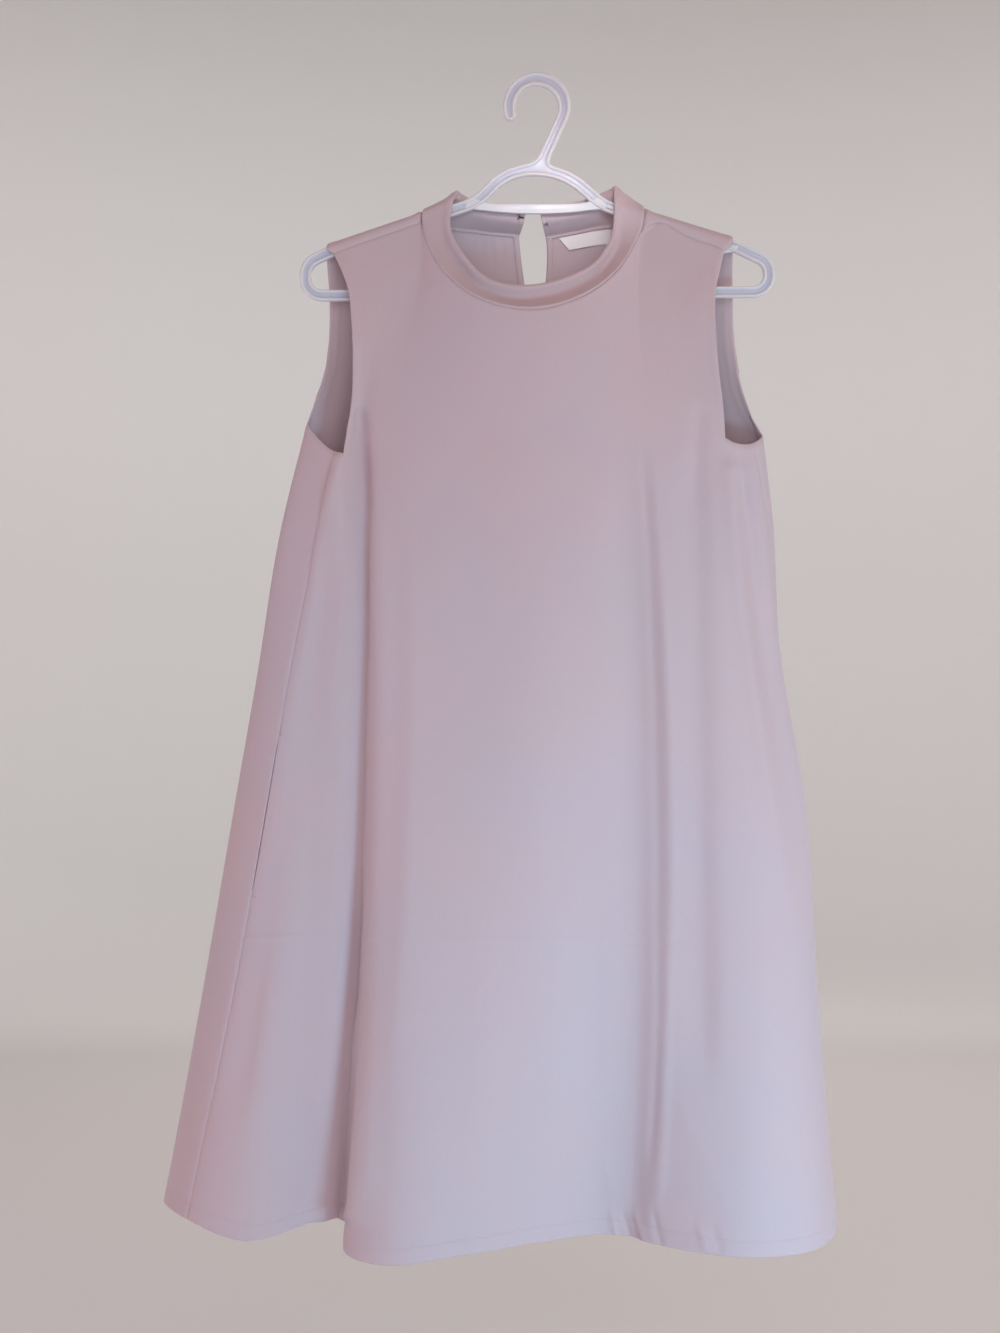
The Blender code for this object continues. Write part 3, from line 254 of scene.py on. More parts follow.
GUSSETS = (((150, -137), (180, -141), (177, -146), (166, -147.8), (153, -145)),
           ((-150, -137), (-153, -146), (-167, -150), (-178, -150), (-181, -145)))
# The moulding's section from its side towards the groove: how far in from the outline, and
# how much of the half depth it has there.
RIDGE = ((0.0, 0.30), (0.12, 0.48), (0.32, 0.66), (0.62, 0.82), (1.0, 0.94), (1.45, 1.0),
         (1.9, 0.985), (2.35, 0.91), (2.75, 0.78), (3.05, 0.64), (3.35, 0.53), (3.75, 0.475),
         (4.15, 0.46))


# ================================================================ helpers

def smooth(keys, values, at):
    """Read a smooth curve through the values at rising keys, at the places in at."""
    keys = np.asarray(keys, dtype=float)
    values = np.asarray(values, dtype=float)
    at = np.atleast_1d(np.asarray(at, dtype=float))
    step = np.diff(keys)[:, None]
    slope = np.diff(values, axis=0) / step
    tangent = np.empty_like(values)
    tangent[1:-1] = (slope[:-1] * step[1:] + slope[1:] * step[:-1]) / (step[:-1] + step[1:])
    tangent[0] = slope[0]
    tangent[-1] = slope[-1]
    cell = np.clip(np.searchsorted(keys, at, side="right") - 1, 0, len(keys) - 2)
    width = step[cell]
    t = ((at - keys[cell]) / width[:, 0])[:, None]
    before, after = values[cell], values[cell + 1]
    start, end = tangent[cell] * width, tangent[cell + 1] * width
    return ((2 * t**3 - 3 * t**2 + 1) * before + (t**3 - 2 * t**2 + t) * start
            + (3 * t**2 - 2 * t**3) * after + (t**3 - t**2) * end)


def chord_keys(points, power=1.0):
    """Rising keys for a row of points, from the distances between them."""
    lengths = np.linalg.norm(np.diff(np.asarray(points, dtype=float), axis=0), axis=1)
    return np.concatenate(([0.0], np.cumsum(lengths**power)))


def read_along(keys, values, at):
    """Values in columns, read on straight lines between rising keys."""
    return np.column_stack([np.interp(at, keys, column) for column in np.asarray(values).T])


def unit(vector):
    """Vectors with length 1, along the last axis."""
    vector = np.asarray(vector, dtype=float)
    return vector / np.maximum(np.linalg.norm(vector, axis=-1, keepdims=True), 1e-12)


def bell(distance, width):
    """1 at no distance, falling away smoothly over the width."""
    return np.exp(-(np.asarray(distance, dtype=float) / width)**2)


def ramp(value, start, end):
    """0 before the start, 1 after the end, smooth between them."""
    t = np.clip((np.asarray(value, dtype=float) - start) / (end - start), 0.0, 1.0)
    return t * t * (3.0 - 2.0 * t)


def ripple(along, wave, seed):
    """An uneven wave of about the given length, between -1 and 1."""
    along = np.asarray(along, dtype=float) / wave * 2.0 * math.pi
    total = sum(math.sin(seed * 3.7 + k * 2.1) * 0.25 + np.sin(along * f + seed * (1.3 + k) + k * k)
                for k, f in enumerate((1.0, 0.618, 1.37, 0.37)))
    return total / 4.0


def to_picture(points):
    """Places in the picture of points in millimetres."""
    scale = VIEW_DISTANCE / (VIEW_DISTANCE + points[:, 1]) / PIXEL
    return np.column_stack([0.5 * PICTURE_WIDTH + (points[:, 0] - VIEW_X) * scale,
                            0.5 * PICTURE_HEIGHT + (VIEW_Z - points[:, 2]) * scale])


def distance_to(points, curve):
    """Distance from each point to the nearest of a curve's points, and which one it is."""
    points, curve = np.asarray(points), np.asarray(curve)
    near = np.full(len(points), np.inf)
    which = np.zeros(len(points), dtype=int)
    for start in range(0, len(points), 4000):
        part = points[start:start + 4000]
        gaps = ((part[:, None, :] - curve[None, :, :])**2).sum(axis=2)
        which[start:start + 4000] = gaps.argmin(axis=1)
        near[start:start + 4000] = np.sqrt(gaps.min(axis=1))
    return near, which


def along_path(places, path):
    """For each place, its signed distance from a path and how far along the path it is."""
    path = np.asarray(path, dtype=float)
    keys = chord_keys(path)
    best = np.full(len(places), np.inf)
    side = np.zeros(len(places))
    along = np.zeros(len(places))
    for index in range(len(path) - 1):
        run = path[index + 1] - path[index]
        length = np.linalg.norm(run)
        offset = places - path[index]
        t = np.clip(offset @ run / length**2, 0.0, 1.0)
        gap = offset - t[:, None] * run
        distance = np.linalg.norm(gap, axis=1)
        closer = distance < best
        best[closer] = distance[closer]
        sign = np.sign(run[0] * offset[:, 1] - run[1] * offset[:, 0])
        side[closer] = (distance * sign)[closer]
        along[closer] = (keys[index] + t * length)[closer]
    return side, along, keys[-1]


def shade(mesh, sharp):
    """Smooth shading, but sharp at edges over an angle in degrees."""
    mesh.shade_smooth()
    if sharp is not None:
        mesh.set_sharp_from_angle(angle=math.radians(sharp))


def make_mesh(name, points, faces, finish, sharp=None):
    """An object from points in millimetres and faces wound outwards."""
    mesh = bpy.data.meshes.new(name)
    mesh.from_pydata((np.asarray(points) * MM).tolist(), [], faces)
    mesh.validate()
    shade(mesh, sharp)
    mesh.materials.append(finish)
    made = bpy.data.objects.new(name, mesh)
    bpy.context.scene.collection.objects.link(made)
    return made


def grid_faces(rows, columns, start=0, closed=False):
    """Faces of a net of points, row after row."""
    faces = []
    for row in range(start, start + (rows - 1) * columns, columns):
        for column in range(columns if closed else columns - 1):
            after = (column + 1) % columns
            faces.append((row + column, row + after, row + columns + after,
                          row + columns + column))
    return faces


def outwards(points, faces):
    """The faces, turned round if they enclose a negative volume."""
    points = np.asarray(points)
    volume = 0.0
    for face in faces:
        for a, b in zip(face[1:], face[2:]):
            volume += np.dot(points[face[0]], np.cross(points[a], points[b]))
    return faces if volume > 0.0 else [tuple(reversed(face)) for face in faces]


def tube(path, radius, sides):
    """Points and faces of a round cord along a path, with narrowed ends."""
    count = len(path)
    radii = np.broadcast_to(radius, count).copy()
    radii[[0, -1]] *= TUBE_TIP
    turns = [2.0 * math.pi * side / sides for side in range(sides)]
    points = []
    normal = None
    for index in range(count):
        run = unit(path[min(index + 1, count - 1)] - path[max(index - 1, 0)])
        if normal is None:
            trial = np.array([0.0, 0.0, 1.0] if abs(run[2]) < 0.8 else [0.0, 1.0, 0.0])
            normal = unit(np.cross(run, trial))
        normal = unit(normal - run * np.dot(normal, run))
        other = np.cross(run, normal)
        points += [path[index] + (normal * math.cos(turn) + other * math.sin(turn)) * radii[index]
                   for turn in turns]
    faces = grid_faces(count, sides, closed=True)
    faces.append(tuple(reversed(range(sides))))
    faces.append(tuple((count - 1) * sides + side for side in range(sides)))
    return points, faces


def joined(parts):
    """Points and faces of several parts as one."""
    points, faces = [], []
    for part_points, part_faces in parts:
        start = len(points)
        points += list(part_points)
        faces += [tuple(corner + start for corner in face) for face in part_faces]
    return points, faces


# ================================================================ the skin of the dress

def column_places():
    """Where each column lies among the steps of the tables' lines, and where lines start."""
    places, starts, total = [], {}, 0
    for index, line in enumerate(LINES):
        share = np.arange(line.steps * COLUMNS) / (line.steps * COLUMNS)
        if line.name in CROWDED:
            share = share**SEAM_CROWD
        elif LINES[(index + 1) % len(LINES)].name in CROWDED:
            share = 1.0 - (1.0 - share)**SEAM_CROWD
        starts[line.name] = len(places)
        places += list(total + share * line.steps)
        total += line.steps
    return np.array(places), starts


PLACES, STARTS = column_places()
COUNT = len(PLACES)
ROW_SHARES = np.sort(np.concatenate([
    np.linspace(0.0, 1.0 - HEM_REACH / BODY_LENGTH, BODY_ROWS + 1 - len(HEM_ROWS)),
    STORAGE_ROW + np.linspace(-STORAGE_REACH, STORAGE_REACH, STORAGE_ROWS) / BODY_LENGTH,
    1.0 - np.array(HEM_ROWS[::-1]) / BODY_LENGTH]))
LAST_ROW = len(ROW_SHARES) - 1


def body_rings():
    """Rings from the underarms to the hem, as an array of rows, columns and xyz."""
    paths = []
    for line in LINES:
        keys = [-line.arm[2], *(-level for level in LEVEL_Z), -line.hem[2]]
        values = [line.arm[:2], line.bust, line.waist, line.hip, line.thigh, line.hem[:2]]
        z = line.arm[2] + (line.hem[2] - line.arm[2]) * ROW_SHARES
        paths.append(np.column_stack([smooth(keys, values, -z), z]))
    paths = np.array(paths)
    step_start = np.cumsum([0] + [line.steps for line in LINES])
    line_of = np.searchsorted(step_start, PLACES, side="right") - 1
    share = (PLACES - step_start[line_of]) / np.array([line.steps for line in LINES])[line_of]
    rings = []
    for row in range(len(ROW_SHARES)):
        points = paths[:, row]
        wrapped = np.concatenate([points[-2:], points, points[:3]])
        keys = chord_keys(wrapped, 0.8)
        at = keys[line_of + 2] + (keys[line_of + 3] - keys[line_of + 2]) * share
        rings.append(smooth(keys, wrapped, at))
    return np.array(rings)


def arm_line(x):
    """Height of a hanger arm's centre line, and its slope, at x."""
    corners = {corner.name: corner for corner in HANGER_CORNERS}
    side = "left" if x < 0 else "right"
    foot, bend = corners["foot_" + side], corners["bend_" + side]
    slope = (bend.z - foot.z) / (bend.x - foot.x)
    return foot.z + slope * (x - foot.x), slope


def fold_height(x):
    """Height of the cloth's fold over a hanger arm at x."""
    centre, slope = arm_line(x)
    return centre + 0.5 * FACE * math.hypot(1.0, slope) + ARM_CLEARANCE + ARM_WALL


STATION_KEYS = chord_keys([station.seam for station in STATIONS])


def neck_keys():
    """Keys of the columns along the neck seam, and the column of each named station."""
    keys = {station.name: key for station, key in zip(STATIONS, STATION_KEYS)}
    order = ("slit", "nape", "behind", "side", "before", "shoulder")
    names = ([name + "_left" for name in order] + ["centre"]
             + [name + "_right" for name in reversed(order)])
    counts = (BACK_NECK_COLUMNS, 2 * WRAP_ROWS, WRAP_ROWS, WRAP_ROWS, 2 * WRAP_ROWS,
              FRONT_NECK_COLUMNS // 2)
    found, starts = [], {}
    for start, end, count in zip(names, names[1:], counts + counts[::-1]):
        starts[start] = len(found)
        found += list(np.linspace(keys[start], keys[end], count, endpoint=False))
    starts["slit_right"] = len(found)
    found.append(keys["slit_right"])
    return np.array(found), starts


NECK_KEYS, NECK_STARTS = neck_keys()
NECK_SEAM = smooth(STATION_KEYS, [station.seam for station in STATIONS], NECK_KEYS)
NECK_TOP = smooth(STATION_KEYS, [station.top for station in STATIONS], NECK_KEYS)


def neck_run(start, end):
    """The neck seam's points from one named station to another, in either direction."""
    a, b = NECK_STARTS[start], NECK_STARTS[end]
    return NECK_SEAM[a:b + 1] if a <= b else NECK_SEAM[b:a + 1][::-1]


def shoulder_strip(side):
    """Points from a shoulder seam over the hanger's arm to the back, by column."""
    seam = SHOULDER_SEAM[side]
    table = smooth(range(len(seam)), seam, np.linspace(0, len(seam) - 1, SHOULDER_COLUMNS + 1))
    columns = []
    for index, (x, y, drop) in enumerate(table):
        share = 1.0 - index / SHOULDER_COLUMNS
        fold_x = x + (TIP_FOLD_X[side] - seam[0][0]) * share**2
        back_x = x + (TIP_BACK_X[side] - seam[0][0]) * share**2
        column = [(x, y, fold_height(x) - drop)]
        for step, (wrap_y, wrap_drop) in enumerate(ARM_WRAP):
            column.append((fold_x if step < 3 else back_x, wrap_y,
                           fold_height(fold_x) - wrap_drop))
        keys = chord_keys(column)
        at = np.interp(np.linspace(0, len(ARM_WRAP), STRIP_ROWS + 1), range(len(column)), keys)
        columns.append(smooth(keys, column, at))
    columns = np.array(columns)
    # the last columns before the neck meet its seam
    miss = neck_run("shoulder_" + side, "nape_" + side) - columns[-1]
    for index in range(COLUMNS + 1):
        columns[SHOULDER_COLUMNS - COLUMNS + index] += miss * (index / COLUMNS)
    return columns


def patch(bottom, slope, top, first_edge, last_edge):
    """A bodice patch from the underarm row up to its top edge, as rows of points."""
    count = len(bottom)
    across = np.arange(count) / (count - 1)
    rows = []
    for row in range(BODICE_ROWS + 1):
        t = 1.0 - (1.0 - row / BODICE_ROWS)**TOP_CROWD
        rise = (top[:, 2] - bottom[:, 2])[:, None]
        chord = top[:, :2] - bottom[:, :2]
        plan = ((2 * t**3 - 3 * t**2 + 1) * bottom[:, :2] + (t**3 - 2 * t**2 + t) * slope * rise
                + (3 * t**2 - 2 * t**3) * top[:, :2] + (t**3 - t**2) * chord)
        height = bottom[:, 2] + rise[:, 0] * t
        first = first_edge(height[0], plan[0]) - plan[0]
        last = last_edge(height[-1], plan[-1]) - plan[-1]
        plan = plan + first * ((1 - across)**3)[:, None] + last * (across**3)[:, None]
        rows.append(np.column_stack([plan, height]))
    return np.array(rows)


def edge_curve(points, bottom, top):
    """An armhole edge as a function of height."""
    rising = [tuple(bottom)] + [tuple(point) for point in points] + [tuple(top)]
    return lambda height, plan: smooth([point[2] for point in rising],
                                       [point[:2] for point in rising], height)[0]


def slit_curve(side):
    """An edge of the slit as a function of height."""
    keys = [level.z for level in reversed(SLIT)]
    values = [[getattr(level, side)] for level in reversed(SLIT)]
    return lambda height, plan: np.array([smooth(keys, values, height)[0][0], plan[1]])


class Skin:
    """Points and faces of the whole dress, the front and back in one net.

    Rows count down from the underarm row, which is row 0. A point beside the open slit
    also has a side."""

    def __init__(self):
        self.number, self.points, self.shared = {}, [], {}
        self.quads = {"front": [], "back": []}

    def key(self, column, row, towards=0):
        """The key of a point; towards says which way its face lies, at the slit."""
        column %= COUNT
        side = ""
        if column == STARTS["back_centre"] and row < -SLIT_ROWS:
            side = "left" if towards > 0 else "right"
        found = (column, row, side)
        return self.shared.get(found, found)

    def put(self, key, point):
        """Set a point, or meet a point already there half way."""
        if key in self.number:
            self.points[self.number[key]] = 0.5 * (self.points[self.number[key]] + point)
        else:
            self.number[key] = len(self.points)
            self.points.append(np.asarray(point, dtype=float))

    def cell(self, panel, column, row):
        """Add the face between two columns and two rows."""
        self.quads[panel].append((
            self.number[self.key(column, row, 1)], self.number[self.key(column, row + 1, 1)],
            self.number[self.key(column + 1, row + 1, -1)],
            self.number[self.key(column + 1, row, -1)]))

    def run(self, columns, rows, towards=0):
        """The numbers of points in a row or a column."""
        return [self.number[self.key(column, row, towards)] for column in columns for row in rows]

    def holds(self, panel):
        """Whether each point belongs to a panel."""
        found = np.zeros(len(self.points), dtype=bool)
        found[np.unique(self.quads[panel])] = True
        return found

    def outside(self):
        """The points of the cloth's outer face, with its creases."""
        return self.points + self.normals * self.fields.lift[:, None]


def even(points, rounds, fixed):
    """Points down a line, evened out towards their neighbours without changing their heights
    much; fixed is 1 where a point stays."""
    points = points.copy()
    keys = chord_keys(points)
    share = ((keys[1:-1] - keys[:-2]) / (keys[2:] - keys[:-2]))[:, None]
    amount = 0.5 * (1.0 - fixed)[1:-1, None]
    for _ in range(rounds):
        middle = points[:-2] * (1.0 - share) + points[2:] * share
        points[1:-1] += (middle - points[1:-1]) * amount
    return points


def dress_skin():
    """The skin of the dress, with its normals, its fields and where it is sewn."""
    skin = Skin()
    rings = body_rings()
    slope = (rings[0, :, :2] - rings[1, :, :2]) / (rings[0, :, 2] - rings[1, :, 2])[:, None]
    for row in range(LAST_ROW + 1):
        for index in range(COUNT):
            skin.put((index, row, ""), rings[row, index])
    strip_left, strip_right = shoulder_strip("left"), shoulder_strip("right")

    def fill(start, end, top, first_edge, last_edge, towards=0):
        """Put a patch over a run of columns into the skin, up to its top."""
        span = slice(start, end + 1)
        points = patch(rings[0, span], slope[span], top, first_edge, last_edge)
        for row in range(1, BODICE_ROWS + 1):
            for index in range(end - start + 1):
                skin.put(skin.key(start + index, -row, towards), points[row, index])

    first, last = STARTS["ridge_left"], STARTS["ridge_right"]
    turn_left, turn_right = STARTS["turn_left"], STARTS["turn_right"]
    centre = STARTS["back_centre"]
    top = np.concatenate([strip_left[:, 0], neck_run("shoulder_left", "shoulder_right")[1:],
                          strip_right[::-1, 0][1:]])
    fill(first, last, top, edge_curve(FRONT_EDGE_LEFT, rings[0, first], top[0]),
         edge_curve(FRONT_EDGE_RIGHT, rings[0, last], top[-1]))
    top = np.concatenate([strip_right[:, -1], neck_run("nape_right", "slit_right")[1:]])
    fill(turn_right, centre, top, edge_curve(BACK_EDGE_RIGHT, rings[0, turn_right], top[0]),
         slit_curve("right"), -1)
    top = np.concatenate([neck_run("slit_left", "nape_left"), strip_left[::-1, -1][1:]])
    fill(centre, turn_left, top, slit_curve("left"),
         edge_curve(BACK_EDGE_LEFT, rings[0, turn_left], top[-1]), 1)

    for index in range(SHOULDER_COLUMNS + 1):
        for back_column, front_column, strip in (
                (turn_right + index, last - index, strip_right[index]),
                (turn_left - index, first + index, strip_left[index])):
            for step in range(1, STRIP_ROWS):
                skin.put(skin.key(back_column, -BODICE_ROWS - step), strip[STRIP_ROWS - step])
            skin.shared[(back_column, -BODICE_ROWS - STRIP_ROWS, "")] = \
                (front_column, -BODICE_ROWS, "")

    for index in range(COUNT):
        panel = "front" if STARTS["seam_left"] <= index < STARTS["seam_right"] else "back"
        for row in range(LAST_ROW):
            skin.cell(panel, index, row)
    for index in range(first, last):
        for row in range(-BODICE_ROWS, 0):
            skin.cell("front", index, row)
    for index in range(turn_right, turn_left):
        near_neck = min(index - turn_right, turn_left - 1 - index)
        rows_above = STRIP_ROWS if near_neck < SHOULDER_COLUMNS else 0
        for row in range(-BODICE_ROWS - rows_above, 0):
            skin.cell("back", index, row)

    skin.points = np.array(skin.points)
    smooth_down(skin)
    skin.normals = point_normals(skin.points, skin.quads["front"] + skin.quads["back"])
    skin.fields = cloth_fields(skin)
    skin.sewn = sewn_points(skin)
    return skin


def smooth_down(skin):
    """Even out each column from its top to the hem. The rows at its top and at the free
    edges stay, and the rows after them move more and more."""
    first, last = STARTS["ridge_left"], STARTS["ridge_right"]
    turn_left, turn_right = STARTS["turn_left"], STARTS["turn_right"]
    for column in range(COUNT):
        in_bodice = first <= column <= last or turn_right <= column <= turn_left
        top, kept_rows = (-BODICE_ROWS, (2, 14)) if in_bodice else (0, (0, 6))
        for towards in (-1, 1) if column == STARTS["back_centre"] else (0,):
            numbers = skin.run([column], range(top, LAST_ROW + 1), towards)
            rows = np.arange(len(numbers))
            kept = 1.0 - ramp(rows, *kept_rows)
            if column in (first, last, turn_right, turn_left, STARTS["back_centre"]):
                kept = np.maximum(kept, 1.0 - ramp(rows, BODICE_ROWS, BODICE_ROWS + 8))
            skin.points[numbers] = even(skin.points[numbers], SMOOTH_ROUNDS, kept)


def point_normals(points, quads):
    """Outward normal at each point of a net of four-sided faces."""
    quads = np.asarray(quads)
    normals = np.zeros_like(points)
    face = np.cross(points[quads[:, 2]] - points[quads[:, 0]],
                    points[quads[:, 3]] - points[quads[:, 1]])
    for corner in range(4):
        np.add.at(normals, quads[:, corner], face)
    return unit(normals)


# ================================================================ folds and creases

# Soft creases and ridges on the front, by where they show in the picture: the path, how far
# out they stand in millimetres, how wide they are on either side, and how long they take to
# fade at their two ends.
Crease = namedtuple("Crease", "path out left right fade_in fade_out")
FRONT_CREASES = [Crease(*row) for row in (
    # beside the left side seam, drawn down from the underarm
    (((343, 452), (327, 498), (318, 522), (312, 569), (308, 600)), 1.5, 5, 7, 4, 50),
    (((350, 462), (338, 500), (330, 540), (326, 600), (322, 660)), -1.2, 6, 9, 14, 90),
    # the panel beside it comes forward to the edge of the long trough
    (((340, 440), (341, 520), (341, 622), (338, 733), (334, 899), (328, 1050), (323, 1221)),
     9.0, 34, 14, 110, 1),
    (((352, 470), (338, 560), (316, 657), (304, 733), (274, 893), (252, 1016), (230, 1140)),
     -4.4, 12, 18, 60, 80),
    (((349, 425), (350, 460), (355, 520), (360, 600)), -5.0, 12, 8, 12, 90),
    # the long trough and crest left of the middle
    (((358, 404), (366, 511), (367, 622), (364, 733), (361, 899), (352, 1050)),
     -4.6, 7.0, 5.0, 10, 60),
    (((360, 850), (352, 1010), (349, 1121), (344, 1221)), -4.0, 6.0, 4.4, 90, 20),
    (((380, 480), (385, 622), (382, 780), (378, 930), (372, 1080), (367, 1210)),
     2.4, 9, 15, 120, 40),
    (((410, 500), (412, 700), (408, 900), (392, 1040), (380, 1130)), 0.9, 8, 16, 90, 90),
    (((433, 560), (436, 740), (430, 930), (420, 1120)), -0.7, 18, 20, 120, 120),
    # the trough and crest right of the middle
    (((642, 430), (650, 560), (655, 700), (657, 844), (657, 960)), -2.0, 9, 4.0, 60, 70),
    (((657, 900), (658, 1010), (654, 1100), (648, 1190)), -1.5, 6, 3.4, 60, 60),
    (((650, 430), (662, 583), (670, 733), (673, 860), (671, 943), (667, 1038),
     (664, 1121), (658, 1222)), 1.2, 5, 8, 80, 40),
    (((696, 430), (698, 640), (700, 800), (702, 1000), (704, 1120)), -4.8, 14, 24, 80, 120),
    (((700, 400), (698, 450), (697, 520)), -1.8, 8, 8, 20, 50),
    (((741, 444), (743, 480), (746, 530)), -1.8, 6, 6, 6, 40),
    # beside the right side seam
    (((728, 456), (735, 560), (744, 625), (757, 712), (772, 810), (786, 900), (796, 1000)),
     3.0, 20, 7, 12, 150),
    (((742, 470), (753, 560), (762, 650), (774, 740)), -1.7, 6, 7, 20, 80),
    # where it was folded in storage
    (((225, 941), (262, 937), (310, 935), (360, 938), (402, 937)), 0.75, 2.4, 3.2, 25, 30),
    (((402, 938), (470, 941), (560, 940), (655, 943)), 0.28, 2.4, 3.2, 40, 30),
    # puckers in the hem
    (((611, 1206), (613, 1222), (617, 1240)), 1.4, 3.0, 3.0, 10, 1),
    (((622, 1210), (626, 1224), (631, 1242)), -1.2, 3.0, 3.0, 8, 1),
    (((633, 1206), (639, 1224), (645, 1244)), 1.4, 3.0, 3.0, 10, 1),
    (((652, 1206), (656, 1226), (661, 1246)), -1.4, 3.2, 3.4, 12, 1),
    (((698, 1220), (702, 1236), (706, 1250)), 1.2, 3.0, 3.0, 8, 1),
    (((712, 1222), (716, 1238), (720, 1252)), -1.1, 3.0, 3.2, 8, 1),
    # small slanting creases behind the pocket
    (((246, 742), (255, 757), (263, 768)), -0.6, 2.6, 3.2, 6, 6),
    (((250, 700), (262, 716), (272, 726)), 0.45, 3.0, 3.4, 8, 6),
    (((655, 946), (669, 943), (690, 939)), -0.55, 3.5, 3.5, 8, 12),
    # small diagonals near the hem
    (((677, 1093), (690, 1130), (710, 1170), (730, 1206)), 0.5, 5, 6, 25, 14),
    (((569, 1049), (577, 1110), (583, 1195)), 0.42, 5, 7, 40, 30),
    (((600, 1143), (609, 1180), (614, 1204)), 0.45, 4, 5, 20, 10),
    (((563, 744), (558, 820), (550, 899)), -0.4, 7, 9, 50, 50),
    (((470, 860), (480, 960), (478, 1080), (468, 1190)), 0.6, 18, 22, 80, 60),
    (((520, 620), (524, 760), (518, 900)), 0.45, 20, 24, 110, 110),
    (((612, 470), (608, 620), (600, 760)), -0.45, 16, 20, 100, 110),
    (((247, 759), (255, 766), (262, 774)), 0.35, 2.5, 3, 5, 5),
    (((398, 559), (405, 565)), -0.35, 3, 3, 4, 4),
    # soft pulls from the shoulders and the collar
    (((430, 262), (408, 300), (396, 345), (392, 400)), -0.9, 10, 13, 22, 80),
    (((384, 246), (375, 290), (372, 345), (373, 410)), 0.9, 10, 12, 20, 90),
    (((655, 226), (650, 236), (641, 250)), -0.6, 6, 6, 6, 12),
    (((664, 217), (657, 224), (650, 230), (641, 236)), -0.9, 2.2, 3.2, 3, 6),
    (((662, 262), (672, 310), (680, 370)), -0.8, 11, 12, 26, 70),
    (((706, 262), (700, 310), (700, 370)), 0.7, 9, 10, 20, 70),
)]
# The same kind on the back, by x and z in millimetres.
BACK_CREASES = [Crease(*row) for row in (
    (((-96, -330), (-108, -460), (-122, -620), (-142, -800), (-158, -985)), 1.9, 16, 14,
     80, 30),
    (((-150, -340), (-158, -470), (-172, -640), (-196, -820), (-214, -980)), -2.2, 12, 14,
     70, 40),
    (((-58, -360), (-64, -520), (-70, -720), (-78, -985)), -1.7, 18, 16, 90, 40),
    (((-18, -300), (-22, -430), (-26, -600)), 1.5, 13, 16, 40, 110),
    (((22, -290), (28, -420), (30, -560)), -1.2, 12, 14, 36, 110),
    (((62, -340), (64, -540), (66, -760), (66, -985)), -1.5, 18, 18, 90, 40),
    (((104, -330), (108, -520), (116, -740), (128, -990)), 2.0, 14, 16, 90, 30),
    (((150, -330), (158, -480), (166, -660), (178, -860)), -2.0, 12, 13, 70, 90),
    (((196, -320), (207, -400), (212, -470)), 1.7, 6, 7, 10, 80),
    (((-196, -320), (-214, -400), (-226, -480)), 1.7, 6, 8, 10, 80),
    (((-250, -744), (-180, -748), (-60, -746), (90, -749), (200, -745)), 0.32, 2.2, 3, 60, 60),
    (((-60, -150), (-74, -200), (-82, -262)), 1.5, 9, 11, 16, 70),
    (((52, -150), (66, -205), (76, -268)), 1.5, 9, 11, 16, 70),
    (((-140, -168), (-134, -220), (-132, -290)), -1.4, 11, 12, 24, 80),
    (((134, -168), (130, -220), (128, -290)), -1.4, 11, 12, 24, 80),
)]


def crease_field(places, creases):
    """How far each place is moved out by the creases."""
    total = np.zeros(len(places))
    for crease in creases:
        side, along, length = along_path(places, crease.path)
        width = np.where(side < 0.0, crease.left, crease.right)
        ends = ramp(along, 0.0, crease.fade_in) * (1.0 - ramp(along, length - crease.fade_out,
                                                             length))
        total += crease.out * bell(side, width) * ends
    return total


# What the sewing does to the cloth beside it: how far out it stands there, at what distance
# from the line and over what width, and the length of the waves along it, with a seed for
# them, where it is uneven. Armhole edges are turned in and lie a little fuller. The hem's
# stitching draws in, and its fold stands out.
Sewing = namedtuple("Sewing", "line out distance width wave seed", defaults=(None, None))
SEWN_LINES = (
    Sewing("side seam", 0.25, 2.6, 2.4, 8.5, 11.0),
    Sewing("shoulder seam", -0.5, 0.0, 0.9), Sewing("shoulder seam", 0.22, 4.0, 4.0, 6.0, 3.0),
    Sewing("neck seam", -1.5, 0.0, 0.9), Sewing("neck seam", 0.30, 4.5, 4.0, 15.0, 4.0),
    Sewing("armhole", 0.35, 3.5, 3.2), Sewing("armhole", 0.28, 9.0, 7.0, 23.0, 5.0),
    Sewing("hem", -0.34, HEM_DEPTH, 1.0), Sewing("hem", 0.22, 5.5, 5.0),
    Sewing("hem", 0.5, 14.0, 20.0, 71.0, 8.0),
)
# millimetres between the points of these two lines, nearly
NECK_SPACING, ARMHOLE_SPACING = 1.6, 2.6
FAR = 1e3                           # the distance given where nothing is near
Fields = namedtuple("Fields", "lift wall from_seam")


